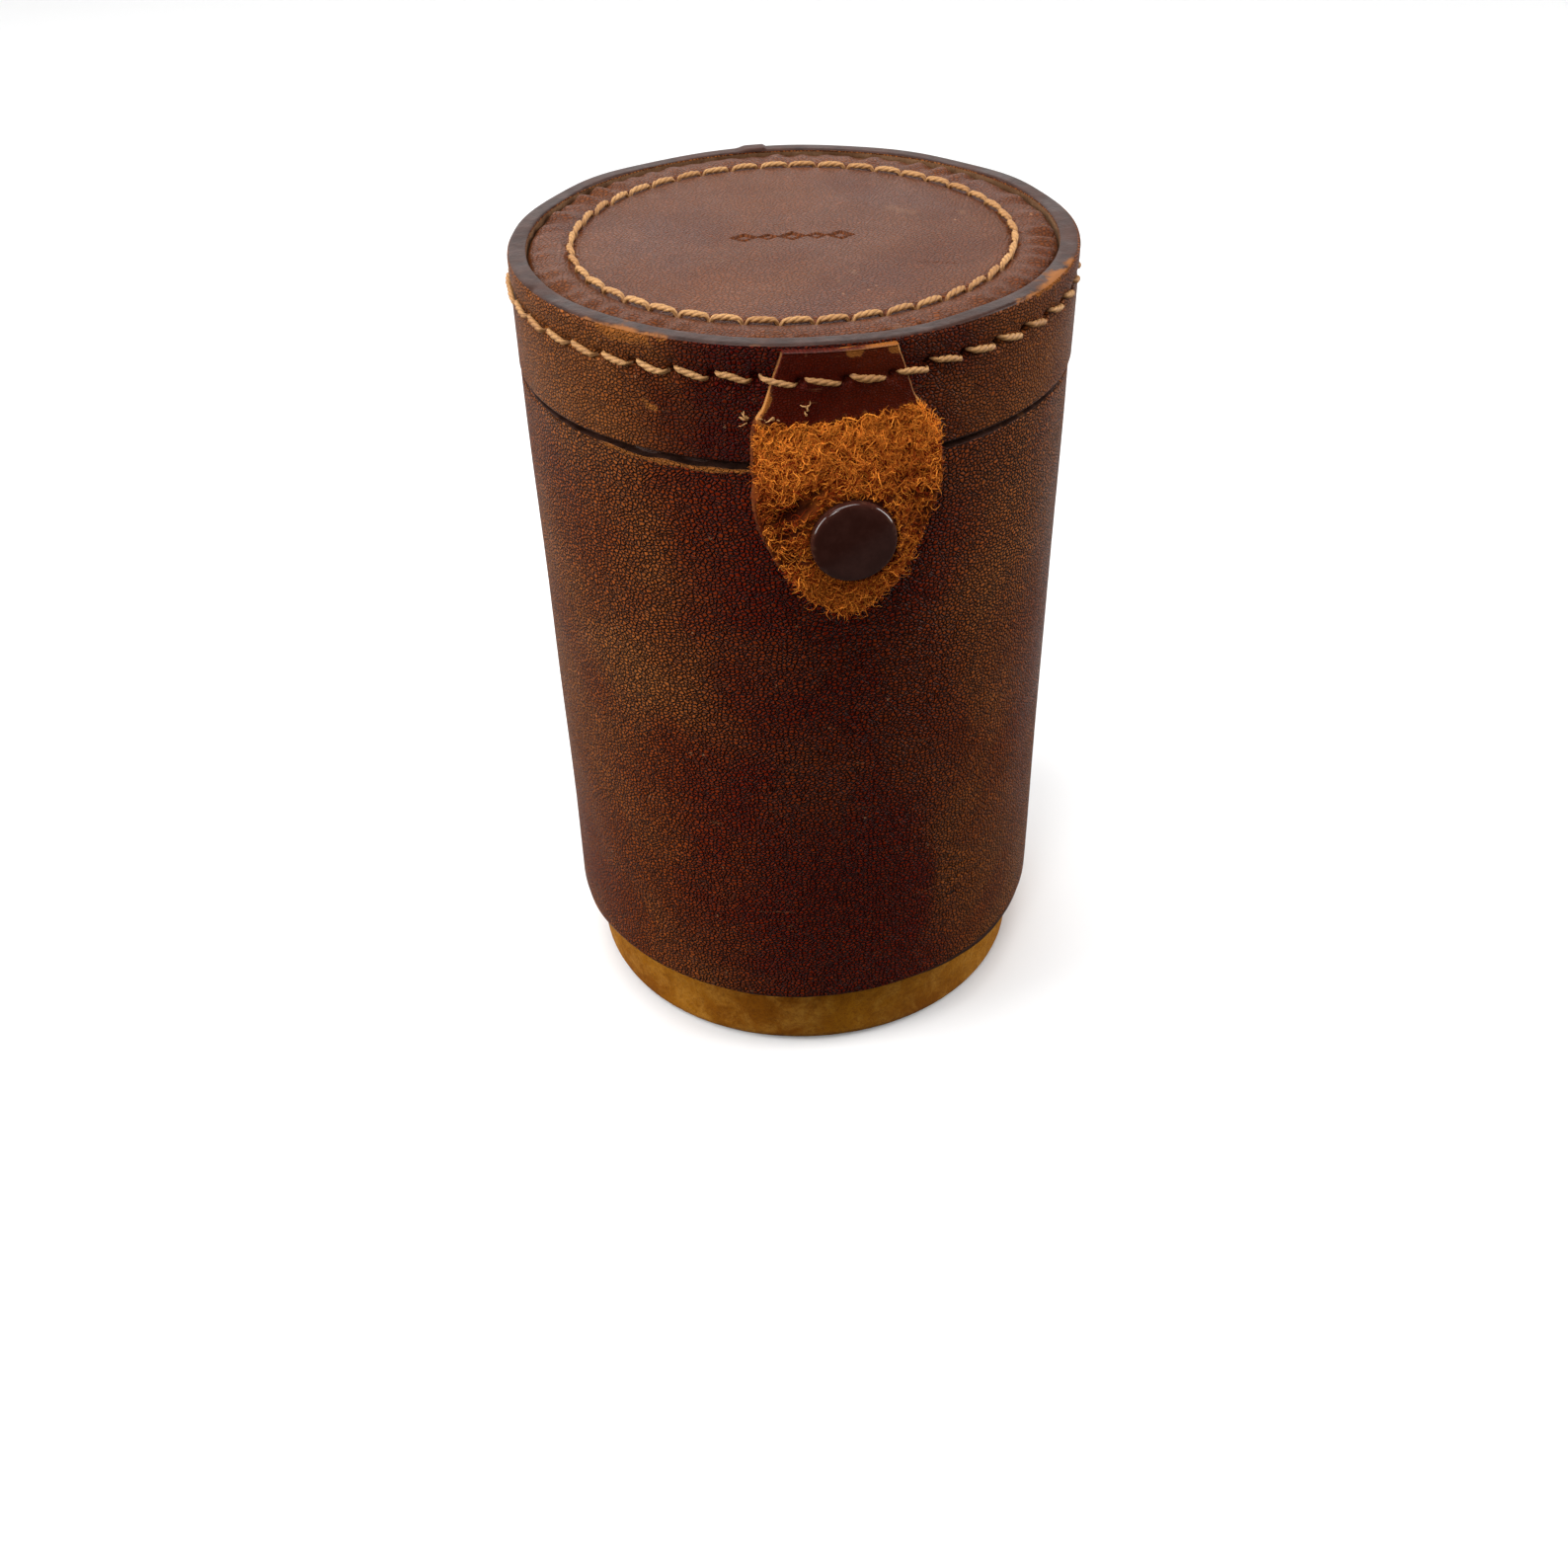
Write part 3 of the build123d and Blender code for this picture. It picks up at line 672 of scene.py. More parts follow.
def twisted_stitch(start, end, outward, bulge, rng, sides=16, parts=34):
    """One stitch: a plump cord with shallow twist lines, diving into a hole at each end.

    Gives its points and faces, and at each point the tone of its thread and its depth, the share of painted
    shade.
    """
    t = np.linspace(0, 1, parts)
    length = np.linalg.norm(end - start)
    along = unit(end - start)
    side = np.cross(outward, along)
    dive = 1 - np.clip(np.minimum(t, 1 - t) / 0.15, 0, 1)
    lift = bulge - (0.9 * dive ** 2) * MM + 0.1 * MM * np.sin(t * math.pi)
    wobble = rng.normal(0, 0.06) * MM * np.sin(t * math.pi * 2 + rng.uniform(0, 6))
    middle = start + np.outer(t * length, along) + np.outer(lift, outward) + np.outer(wobble, side)
    plump = (0.5 + 0.5 * np.sin(np.pi * np.clip(t, 0.03, 0.97)) ** 0.7) * (1 + 0.05 * rng.normal(size=parts))
    half_width = 0.47 * MM * plump * rng.uniform(0.9, 1.1)
    half_height = 0.42 * MM * plump
    angle = np.arange(sides) * 2 * math.pi / sides
    twist = 2 * math.pi * length / (3.3 * MM) * t + rng.uniform(0, 6.3)
    groove = np.abs(np.cos(1.5 * (angle[None, :] - twist[:, None])))
    shape = 1 - 0.34 * (1 - groove) ** 2
    lead = unit(np.gradient(middle, axis=0))
    across = unit(np.cross(lead, outward))
    up = np.cross(across, lead)
    wide = (half_width[:, None] * np.cos(angle) * shape)[..., None] * across[:, None, :]
    tall = (half_height[:, None] * np.sin(angle) * shape)[..., None] * up[:, None, :]
    points = (middle[:, None, :] + wide + tall).reshape(-1, 3)
    faces = tube_faces(parts, sides)
    # Painted shade in the twist grooves and where the thread dives into a hole.
    depth = np.clip(smoothstep(0.62, 0.05, groove) * 0.8 + dive[:, None] ** 2, 0, 1).ravel()
    tone = np.full(len(points), rng.uniform(0.2, 0.9))
    return points, faces, tone, depth


def sew(name, stitches, seed, replaced, body):
    """Joins stitches, each (start, end, outward, bulge), into one piece of thread."""
    rng = np.random.default_rng(seed)
    points, faces, tone, depth, count = [], [], [], [], 0
    for start, end, outward, bulge in stitches:
        p, f, c, d = twisted_stitch(start, end, outward, bulge, rng)
        faces += [[corner + count for corner in face] for face in f]
        points.append(p)
        tone.append(c)
        depth.append(d)
        count += len(p)
    piece = make_piece(
        name, np.concatenate(points), faces, [thread], tone=np.concatenate(tone), depth=np.concatenate(depth)
    )
    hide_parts(replaced)
    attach(piece, body)
    return piece


def build_top_thread():
    """Ring of stitches on the lid."""
    pitch = 360 / top_stitches
    rng = np.random.default_rng(5)
    stitches = []
    for k in range(top_stitches):
        middle = pitch * k + rng.normal(0, 0.12)
        half = pitch * 0.47
        skew = rng.normal(0.2, 0.08) * MM
        start = wall_point(middle - half, top_ring_radius + skew, disc_level)
        end = wall_point(middle + half, top_ring_radius - skew, disc_level)
        stitches.append((start, end, UP, 0.22 * MM))
    sew("lid_ring_thread", stitches, 6, "top_stitches", "lid")


def seam_surface(azimuth):
    """Radius of the leather under the band seam at an azimuth in degrees."""
    tab = abs(azimuth + 1.7) < tab_reach_at_seam
    strap = abs(around(azimuth, 180)) < strap_reach_at_seam
    return lid_radius + sewn_leather * tab + strap_leather * strap - 0.15 * MM


def build_band_thread():
    """Running stitches round the band, over the tab and the hinge strap."""
    rng = np.random.default_rng(9)
    stitches = []
    for k in range(band_stitches):
        middle = around(seam_pitch * k + seam_phase, 0) + rng.normal(0, 0.15)
        half = seam_pitch * 0.4
        fall = (0.42 + rng.normal(0, 0.08)) * MM
        before, after = around(middle - half, 0), around(middle + half, 0)
        highest = max(seam_surface(before), seam_surface(after)) - 0.45 * MM
        start = wall_point(before, max(seam_surface(before), highest), seam_level + fall)
        end = wall_point(after, max(seam_surface(after), highest), seam_level - fall)
        outward = wall_point(middle, 1.0, 0.0)
        stitches.append((start, end, outward, 0.26 * MM))
    sew("band_thread", stitches, 12, "band_stitches", "lid")


# --- Cup body ---------------------------------------------------------------------------

def cover_line(level):
    """Radius of the cover at a level; it is a little smaller at its foot."""
    return cover_radius - cover_taper * (cover_top - level) / (cover_top - cover_foot)


def cover_relief(az, radius, level, out, rise):
    """Slight dents, an uneven lower edge, a torn top edge, the lap joint and a few creases."""
    outer = smoothstep(0.6, 0.95, out)
    push = 0.13 * MM * ripple(az, level * 55, 41) * outer
    drop_edge = smoothstep(-0.5, -0.9, rise)
    waves = 0.28 * ripple(az, 0, 44, highest=7) + 0.1 * ripple(az, 0, 47, highest=30)
    push += waves * MM * drop_edge
    top_edge = smoothstep(0.5, 0.9, rise)
    torn = facing(az, -33, 17)
    ragged = 0.30 + 0.2 * ripple(az, 0, 51, waves=12, lowest=8, highest=60)
    push -= ragged * MM * torn * top_edge
    lap = smoothstep(-2.0, -1.6, around(az, 178)) * smoothstep(14, 2.0, around(az, 178))
    push += 0.35 * MM * lap * outer
    across = np.radians(around(az, 28)) * radius
    creases = ((0.0, 0.10, 0.4), (-3.1, 0.02, 0.3), (2.6, 0.22, 0.25))
    for offset, tilt, depth in creases:
        line = level - (31 + offset) * MM + across * tilt
        push -= depth * MM * bell(line, 0.22) * bell(across, 4.5) * outer
    return push


def cover_wear(az, radius, level, out, rise):
    """Torn top edge beside the tab, a rubbed lower edge, a long scratch and a few scuffs."""
    torn = smoothstep(20, 14, np.abs(around(az, -34))) * bell(level - cover_top, 0.9)
    torn = torn * smoothstep(0.05, 0.5, out)
    right = facing(az, 42, 18) * bell(level - cover_top, 0.45)
    foot = bell(level - cover_foot, 0.5) * (0.22 + 0.5 * facing(az, -75, 22))
    bow = np.radians(around(az, -12)) * radius
    scratch = bell(level - 29 * MM - bow * 0.85 + bow ** 2 * 35, 0.3) * bell(bow, 3.4)
    side = facing(az, -72, 3.0) * bell(level - 96 * MM, 1.4)
    return 0.95 * torn + 0.42 * right + foot + 0.68 * scratch + 0.52 * side


def build_cover():
    """Grain leather cover with raw cut edges."""
    corners = [
        (cover_bore, cover_foot, 0.25 * MM, 0.45 * MM),
        (cover_line(cover_foot), cover_foot, 0.5 * MM, 1.1 * MM),
        (cover_line(24 * MM), 24 * MM, 0, 0.3 * MM),
        (cover_line(36 * MM), 36 * MM, 0, 1.1 * MM),
        (cover_line(94 * MM), 94 * MM, 0, 0.55 * MM),
        (cover_line(cover_top), cover_top, 0.5 * MM, 0.4 * MM),
        (cover_bore, cover_top, 0.25 * MM, 6 * MM),
    ]
    outline = rounded_outline(corners)

    def pick(line, tangent):
        inside = line[:, 0] < cover_bore + 0.02 * MM
        return np.where(inside, 2, np.where(np.abs(tangent[:, 0]) > 0.8, 1, 0))

    materials = [cover_leather, rim_edge, flesh_side]
    cover = lathe(
        "cover_leather_sleeve", outline, cover_segments, materials,
        cover_relief, cover_wear, pick, lap_azimuth=176.2,
    )
    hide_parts("outer_cover")
    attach(cover, "cup")


def build_tube():
    """Undyed inner tube: the tan foot below the cover, and the neck that enters the lid."""
    corners = [
        (bore_radius, 0.0, 0.2 * MM, 0.6 * MM),
        (cup_radius, 0.0, 2.1 * MM, 0.7 * MM),
        (cup_radius, 12 * MM, 0, 1.6 * MM),
        (cup_radius, neck_top, 0.9 * MM, 0.4 * MM),
        (bore_radius, neck_top, 0.9 * MM, 1.6 * MM),
    ]
    outline = rounded_outline(corners)

    def relief(az, radius, level, out, rise):
        foot = smoothstep(cover_foot + 2 * MM, cover_foot - 2 * MM, level) * smoothstep(0.3, 0.9, out)
        return 0.12 * MM * ripple(az, level * 160, 61) * foot

    def pick(line, tangent):
        inside = (line[:, 0] < bore_radius + 0.4 * MM) & (line[:, 1] > lining_low[2])
        return np.where(inside, 1, 0)

    tube = lathe("tan_inner_tube", outline, tube_segments, [tan_leather, flesh_side], relief, None, pick)
    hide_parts("inner_tube")
    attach(tube, "cup")


# --- Tab --------------------------------------------------------------------------------

tab_stations = np.array([0.5, 3.8, 8.0, 9.8, 12.5, 18.0]) * MM        # drops
tab_half_widths = np.array([7.0, 8.2, 9.5, 11.2, 12.1, 12.2]) * MM
shoulder_drop = tab_stations[-1]


def tab_half_width(drop):
    """Half width of the tab: flaring down to the shoulder, then a blunt tongue."""
    flare = np.interp(drop, tab_stations, tab_half_widths)
    flare = (
        np.interp(drop - 0.8 * MM, tab_stations, tab_half_widths)
        + 2 * flare
        + np.interp(drop + 0.8 * MM, tab_stations, tab_half_widths)
    ) / 4
    share = np.clip((drop - shoulder_drop) / (tip_drop - shoulder_drop), 0, 1)
    tongue = tab_half_widths[-1] * (1 - share ** 1.7) ** 0.67
    return np.where(drop > shoulder_drop, tongue, flare)


def tab_shift(drop):
    """The tab isn't quite true: its sewn end and its tongue sit a little to the left of the snap."""
    return -0.9 * MM * smoothstep(13 * MM, 7 * MM, drop) - 0.6 * MM * smoothstep(16 * MM, 24 * MM, drop)


def tab_thickness(drop):
    return sewn_leather + (flap_leather - sewn_leather) * smoothstep(6 * MM, 14 * MM, drop)


def tab_inner_reach(drop):
    """Distance from the cup's axis to the tab's inner face on its middle line."""
    lift = tab_lift * smoothstep(10.5 * MM, snap_drop - 5 * MM, drop)
    return lid_radius + lift - 0.5 * MM * smoothstep(snap_drop + 4 * MM, tip_drop, drop)


def tab_creases(x, drop):
    """Depth share of the folds beside the snap."""
    depth = np.zeros(x.shape)
    # Each fold: its two ends as (x, drop), its width and its strength, in millimetres.
    folds = [
        (-11.4, 22.6, -4.2, 19.6, 0.8, 1.0),
        (-10.2, 25.0, -5.6, 22.6, 0.6, 0.6),
        (-8.5, 20.2, -2.6, 17.4, 0.6, 0.6),
        (7.0, 19.6, 11.6, 20.4, 0.45, 1.3),
        (6.8, 22.2, 11.2, 22.6, 0.35, 0.8),
        (4.8, 17.9, 10.9, 17.0, 0.6, 0.5),
        (7.4, 25.0, 10.4, 23.6, 0.5, 0.4),
        (-9.4, 29.0, -6.4, 26.2, 0.6, 0.4),
    ]
    for x0, d0, x1, d1, width, strength in folds:
        start, run = np.array([x0, d0]), np.array([x1 - x0, d1 - d0])
        t = np.clip(((x / MM - x0) * run[0] + (drop / MM - d0) * run[1]) / (run @ run), 0, 1)
        distance = np.hypot(x / MM - start[0] - t * run[0], drop / MM - start[1] - t * run[1])
        taper = np.sin(np.pi * np.clip(t, 0.08, 0.92))
        depth = np.maximum(depth, strength * bell(distance * MM, width) * taper)
    return depth


def worn_line(x):
    """Drop at which the grain is worn away: lower on the left, ragged."""
    ragged = 0.22 * np.sin(x / MM * 2.3) + 0.16 * np.sin(x / MM * 5.1 + 1) + 0.12 * np.sin(x / MM * 11.7 + 2)
    return (9.3 - 0.062 * x / MM + ragged - 0.0035 * (x / MM + 3) ** 2) * MM


def tab_surface(x, drop, outer):
    """Point on the tab's outer or inner face; x is the distance from its middle line."""
    snap_distance = np.hypot(x, drop - snap_drop)
    flat = smoothstep(cap_radius + 3.2 * MM, cap_radius - 0.6 * MM, snap_distance)
    reach = tab_inner_reach(drop)
    face = reach + (tab_thickness(drop) if outer else 0)
    curve = face * (1 + 0.10 * smoothstep(11 * MM, 20 * MM, drop))
    sag = (curve - np.sqrt(np.maximum(curve ** 2 - x ** 2, 0))) * (1 - flat)
    reach_here = face - sag
    if outer:
        suede = smoothstep(0, 1.0 * MM, drop - worn_line(x))
        ring = bell(snap_distance - cap_radius - 0.9 * MM, 0.9)
        lumps = ripple(x * 3.2e4, drop * 900, 71, waves=16, highest=9)
        reach_here = reach_here - suede * (0.22 * MM - 0.16 * MM * lumps)
        reach_here = reach_here - 0.8 * MM * tab_creases(x, drop) + 0.3 * MM * ring
        seam_drop = rim_level - seam_level
        reach_here = reach_here - 0.16 * MM * bell(drop - seam_drop, 0.9)
        for k in range(-2, 2):
            hole = math.radians(seam_phase + seam_pitch * (k + 0.5))
            distance = np.hypot(x - (lid_radius + sewn_leather) * math.sin(hole), drop - seam_drop)
            reach_here -= 0.8 * MM * bell(distance, 0.5)
    return np.stack([x, -reach_here, rim_level - drop], -1)


def closed_strip(front, back, edge, bulge):
    """Closes a strip round its outer and inner grid of points, which run along it row by row.

    edge gives the places of the points across its cut edges, which stand out by the bulge.
    """
    back = back[:, ::-1]
    t = edge[None, :, None]
    swell = np.sin(np.pi * t) * bulge * np.array([1.0, 0, 0])
    right = front[:, -1:] * (1 - t) + back[:, :1] * t + swell
    left = back[:, -1:] * (1 - t) + front[:, :1] * t - swell
    loop = np.concatenate([front, right, back, left], axis=1)[:, ::-1]
    return loop, tube_faces(*loop.shape[:2])


def build_tab():
    """The tab: sewn under the band seam, folding at the hinge line, worn to suede below."""
    rows_above = np.linspace(tab_stations[0], shoulder_drop, 84)
    squeeze = 1 - (1 - np.linspace(0, 0.985, 96)[1:]) ** 1.7
    drops = np.concatenate([rows_above, shoulder_drop + (tip_drop - shoulder_drop) * squeeze])
    across = np.sin(np.linspace(-np.pi / 2, np.pi / 2, tab_columns))
    across = 0.55 * across + 0.45 * np.linspace(-1, 1, tab_columns)
    half = tab_half_width(drops)
    shift = tab_shift(drops)
    x, drop = np.broadcast_arrays(half[:, None] * across[None, :] + shift[:, None], drops[:, None])
    fray = 0.16 * MM * ripple(drop * 8e4, np.sign(x), 77, waves=14, lowest=2, highest=14)
    below = smoothstep(0, 2 * MM, drop - worn_line(x))
    x = x + fray * below * np.abs(across[None, :]) ** 12 * np.sign(across)[None, :]
    edge = np.arange(1, 6) / 6
    loop, faces = closed_strip(tab_surface(x, drop, True), tab_surface(x, drop, False), edge, 0.22 * MM)
    rows, columns = loop.shape[:2]
    points = loop.reshape(-1, 3)
    # 0 grain side, 1 cut edge, 2 flesh side.
    column_kind = np.repeat([1, 2, 1, 0], [len(edge), len(across)] * 2)
    row_drop = drops[:-1] * 0.5 + drops[1:] * 0.5
    kind = np.tile(column_kind, rows - 1)
    middle_x = (loop[:-1, :, 0] + loop[1:, :, 0]).ravel() / 2
    worn = np.repeat(row_drop, columns) > worn_line(middle_x)
    material = np.where(kind == 2, 3, np.where(kind == 1, np.where(worn, 1, 2), np.where(worn, 1, 0)))
    material = np.concatenate([material, [0, 1]])
    level = rim_level - points[:, 2]
    edge = np.minimum(np.abs(np.abs(points[:, 0] - tab_shift(level)) - tab_half_width(level)), 5 * MM)
    wear = 0.34 * bell(edge, 0.4) + 0.5 * bell(level - worn_line(points[:, 0]), 0.6)
    wear += 0.5 * bell(edge, 1.2) * (points[:, 0] < 0) * bell(level - 7 * MM, 2.2)
    for patch, width in ((0.8, 1.4), (5.6, 0.7)):
        wear += 1.0 * bell(points[:, 0] - patch * MM, width) * bell(level - 0.7 * MM, 0.9)
    # Painted shade: darker in the folds, and a share of the painted front shade over the whole tab.
    crease = 1.3 * tab_creases(points[:, 0], level)
    tab = make_piece(
        "snap_tab", points, faces, [tab_leather, worn_suede, torn_edge, flesh_side], material,
        points[:, [0, 2]], wear=wear, stain=np.full(len(points), 0.6), crease=np.clip(crease, 0, 1),
    )
    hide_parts("tab_sewn_end", "tab_flap")
    bend_with_tab(tab)


def bend_with_tab(piece):
    """Bakes a piece's transform into its mesh; the piece isn't bent."""
    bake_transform(piece)


def fibres(
    name, material, roots, directions, outward, lengths, curl, width, tones, rng, parts=5, sides=3, crimp=0.2
):
    """Short curled fibres as thin tapering tubes; crimp is the height of their small waves."""
    count = len(roots)
    t = np.linspace(0, 1, parts)[None, :, None]
    side = np.cross(outward, directions)
    bow = curl * rng.normal(0, 1, (count, 1, 1))
    turns = rng.uniform(3.5, 7.5, (count, 1, 1))
    start = rng.uniform(0, 6.3, (count, 1, 1))
    wave = np.sin(t * turns + start) - np.sin(start)
    lift = rng.uniform(0.15, 0.6, (count, 1, 1)) * np.sin(t * rng.uniform(2.4, 3.4, (count, 1, 1)))
    reach = lengths[:, None, None]
    path = roots[:, None, :] + directions[:, None, :] * reach * t
    path += side[:, None, :] * reach * (bow * t ** 2 + crimp * wave)
    path += outward[:, None, :] * reach * lift
    lead = unit(np.gradient(path, axis=1))
    across = np.cross(lead, np.broadcast_to(outward[:, None, :], lead.shape))
    across /= np.linalg.norm(across, axis=2)[..., None] + 1e-12
    up = np.cross(across, lead)
    angle = np.arange(sides) * 2 * np.pi / sides
    radius = width * rng.uniform(0.6, 1.3, (count, 1, 1, 1)) * (1 - 0.75 * t[..., None])
    ring = path[:, :, None, :] + radius * (
        np.cos(angle)[None, None, :, None] * across[:, :, None, :]
        + np.sin(angle)[None, None, :, None] * up[:, :, None, :]
    )
    base = np.arange(count)[:, None, None] * parts * sides
    faces = (np.array(grid_faces(parts, sides, wrap_rows=False))[None] + base).reshape(-1, 4).tolist()
    loop = np.arange(sides)
    ends = np.stack([loop[::-1], (parts - 1) * sides + loop])
    faces += (ends[None] + base).reshape(-1, sides).tolist()
    tone = np.repeat(np.clip(tones, 0, 1), parts * sides)
    return make_piece(name, ring.reshape(-1, 3), faces, [material], tone=tone)


def build_nap():
    """Loose suede fibres on the worn part of the tab and along its edge."""
    rng = np.random.default_rng(23)
    x = rng.uniform(-1, 1, nap_fibres * 3) * tab_half_widths[-1]
    drop = rng.uniform(8.5 * MM, tip_drop - 0.3 * MM, nap_fibres * 3)
    inside = np.abs(x - tab_shift(drop)) < tab_half_width(drop) - 0.05 * MM
    worn = drop > worn_line(x) + 0.1 * MM
    clear = np.hypot(x, drop - snap_drop) > cap_radius + 0.15 * MM
    smooth_leather = smoothstep(17 * MM, 20 * MM, drop) * smoothstep(31 * MM, 28 * MM, drop)
    gap = smoothstep(0.1, 1.0, ripple(x * 2.6e5, drop * 6500, 83, waves=18, highest=8)) * 0.75
    open_nap = rng.uniform(0, 1, x.shape) > 1.2 * tab_creases(x, drop) + 0.4 * smooth_leather + gap
    keep = np.where(inside & worn & clear & open_nap)[0][:nap_fibres]
    x, drop = x[keep], drop[keep]
    roots = tab_surface(x, drop, True)
    step = 0.05 * MM
    right = unit(tab_surface(x + step, drop, True) - roots)
    down = unit(tab_surface(x, drop + step, True) - roots)
    outward = unit(np.cross(right, -down))
    clump = 3.0 * ripple(x * 4.5e4, drop * 1400, 81, waves=12, highest=7) + rng.normal(0, 0.9, len(x))
    below_line = drop - worn_line(x)
    clump = np.where(below_line < 0.9 * MM, rng.uniform(0.1, 3.0, len(x)), clump)
    stretched = smoothstep(16.5 * MM, 18 * MM, drop) * smoothstep(29 * MM, 26 * MM, drop) * (x < -1.5 * MM)
    clump = np.where(rng.uniform(0, 1, len(x)) < 0.85 * stretched, rng.normal(-0.4, 0.3, len(x)), clump)
    directions = np.cos(clump)[:, None] * right + np.sin(clump)[:, None] * down
    room = np.hypot(x, drop - snap_drop) - cap_radius
    lengths = np.minimum(rng.gamma(6, 0.16, len(x)) * MM, np.maximum(room, 0.3 * MM) * 1.2)
    near_edge = np.minimum(tab_half_width(drop) - np.abs(x - tab_shift(drop)), tip_drop - drop)
    lengths = lengths * (0.4 + 0.6 * smoothstep(0.1 * MM, 0.9 * MM, near_edge))
    tones = rng.normal(0.4, 0.36, len(x)) + 0.36 * smoothstep(16 * MM, 12 * MM, drop)
    # Painted shade: fibres darker in the folds.
    tones = tones - 0.5 * tab_creases(x, drop) - 0.12 * stretched
    # Painted light: fibres at the tip lighter, where the top light reaches less.
    at_tip = smoothstep(28 * MM, 31 * MM, drop)
    tones += 0.06 * at_tip
    lengths = lengths * (1 + 0.3 * at_tip)
    nap = fibres("tab_nap", suede_fibre, roots, directions, outward, lengths, 0.4, 0.1 * MM, tones, rng)
    bend_with_tab(nap)


def build_frayed_thread():
    """Broken thread ends beside the tab and at the edge of its worn part."""
    rng = np.random.default_rng(29)
    # Each tuft: distance from the middle line, drop and angle, each with its spread, and its threads.
    tufts = (
        (-12.4, 0.25, 9.6, 0.25, 2.7, 0.5, 7),
        (-5.2, 0.2, 8.0, 0.25, 1.8, 0.5, 5),
        (-8.6, 0.9, 9.2, 0.15, 3.1, 0.3, 5),
    )
    x, drop, angle = (
        np.concatenate([rng.normal(tuft[k], tuft[k + 1], tuft[-1]) for tuft in tufts]) for k in (0, 2, 4)
    )
    x, drop, angle = x * MM, drop * MM, angle[:, None]
    outside = np.abs(x - tab_shift(drop)) > tab_half_width(drop)
    reach = lid_radius + np.where(outside, 0.02 * MM, sewn_leather)
    roots = np.stack([x, -np.sqrt(reach ** 2 - x ** 2), rim_level - drop], -1)
    outward = unit(roots * [1, 1, 0])
    right = np.cross(UP, outward)
    directions = np.cos(angle) * right + np.sin(angle) * UP
    lengths = rng.uniform(0.5, 1.1, len(x)) * MM
    tones = rng.uniform(0.5, 1, len(x))
    frayed = fibres(
        "frayed_thread", thread, roots, directions, outward, lengths, 0.35, 0.16 * MM, tones, rng, 10, 6, 0.06
    )
    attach(frayed, "lid")


def build_snap_cap():
    """Enamelled cap with a low dome and a rolled edge."""
    # Radius and rise, as shares of the cap's own.
    half_section = np.array([
        (0.00, 1.00), (0.30, 0.99), (0.55, 0.967), (0.74, 0.94), (0.88, 0.905), (0.94, 0.86),
        (0.975, 0.76), (0.993, 0.60), (1.00, 0.40), (0.985, 0.18), (0.95, 0.04), (0.90, -0.02),
    ])
    height = -cap_seat - cap_low[1]
    dense = np.linspace(0, 1, 61)
    length = np.concatenate([[0], np.cumsum(np.hypot(*np.diff(half_section, axis=0).T))])
    radius = np.interp(dense, length / length[-1], half_section[:, 0]) * cap_radius
    rise = np.interp(dense, length / length[-1], half_section[:, 1]) * height
    for _ in range(2):
        radius[1:-1] = (radius[:-2] + 2 * radius[1:-1] + radius[2:]) / 4
        rise[1:-1] = (rise[:-2] + 2 * rise[1:-1] + rise[2:]) / 4
    radius[0] = axis_gap
    turn = np.arange(cap_segments) * 2 * np.pi / cap_segments
    x = np.outer(np.cos(turn), radius)
    z = np.outer(np.sin(turn), radius)
    y = np.broadcast_to(-cap_seat - rise + 0.15 * MM, x.shape)
    points = np.stack([x, y, snap_level + z], -1).reshape(-1, 3)
    faces = grid_faces(cap_segments, len(radius), wrap_columns=False)
    faces.append([i * len(radius) for i in reversed(range(cap_segments))])
    faces.append([i * len(radius) + len(radius) - 1 for i in range(cap_segments)])
    edge = np.tile(bell(radius - 0.95 * cap_radius, 0.3), cap_segments)
    cap = make_piece("snap_cap_enamel", points, faces, [enamel], wear=edge)
    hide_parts("snap_cap")
    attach(cap, "tab")


# --- Hinge strap ------------------------------------------------------------------------

def build_hinge_strap():
    """One strip of leather sewn to lid and cup, with slack at the fold."""
    half_width = strap_high[0]
    foot, head = strap_low[2], upper_high[2]
    levels = np.linspace(foot, head, 120)
    across = np.linspace(-1, 1, strap_columns)
    corner = 1.6 * MM
    ends = np.minimum(levels - foot, head - levels)
    narrowing = corner - np.sqrt(np.maximum(corner ** 2 - np.maximum(corner - ends, 0) ** 2, 0))
    x = (half_width - narrowing)[:, None] * across[None, :]
    x, level = np.broadcast_arrays(x, levels[:, None])
    slack = (strap_axis[1] - lid_radius - strap_leather) * bell(level - strap_axis[2], 2.6)
    wall = np.where(level > strap_axis[2], lid_radius, cover_radius)
    near = wall + slack + 0.02 * MM
    relief = 0.08 * MM * ripple(x * 2e4, level * 300, 91)
    groove = 0.15 * MM * bell(level - seam_level, 0.9)
    face = near + strap_leather + relief - groove
    front, back = (np.stack([x, np.sqrt(reach ** 2 - x ** 2), level], -1) for reach in (face, near))
    edge = np.array([0.2, 0.5, 0.8])
    loop, faces = closed_strip(front, back, edge, 0.2 * MM)
    points = loop.reshape(-1, 3)
    kinds = np.repeat([1, 2, 1, 0, 1], [len(edge) - 1, len(across), len(edge), len(across), 1])
    material = np.concatenate([np.tile(kinds, len(levels) - 1), [1, 1]])
    to_ends = np.minimum(points[:, 2] - foot, head - points[:, 2])
    near_edge = np.minimum(half_width - np.abs(points[:, 0]), to_ends)
    wear = 0.42 * bell(near_edge, 0.5) + 0.28 * bell(points[:, 2] - strap_axis[2], 1.6)
    strap = make_piece(
        "hinge_strap", points, faces, [band_leather, torn_edge, flesh_side], material,
        points[:, [0, 2]], wear=wear,
    )
    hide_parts("hinge_strap_lower", "hinge_strap_upper")
    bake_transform(strap)


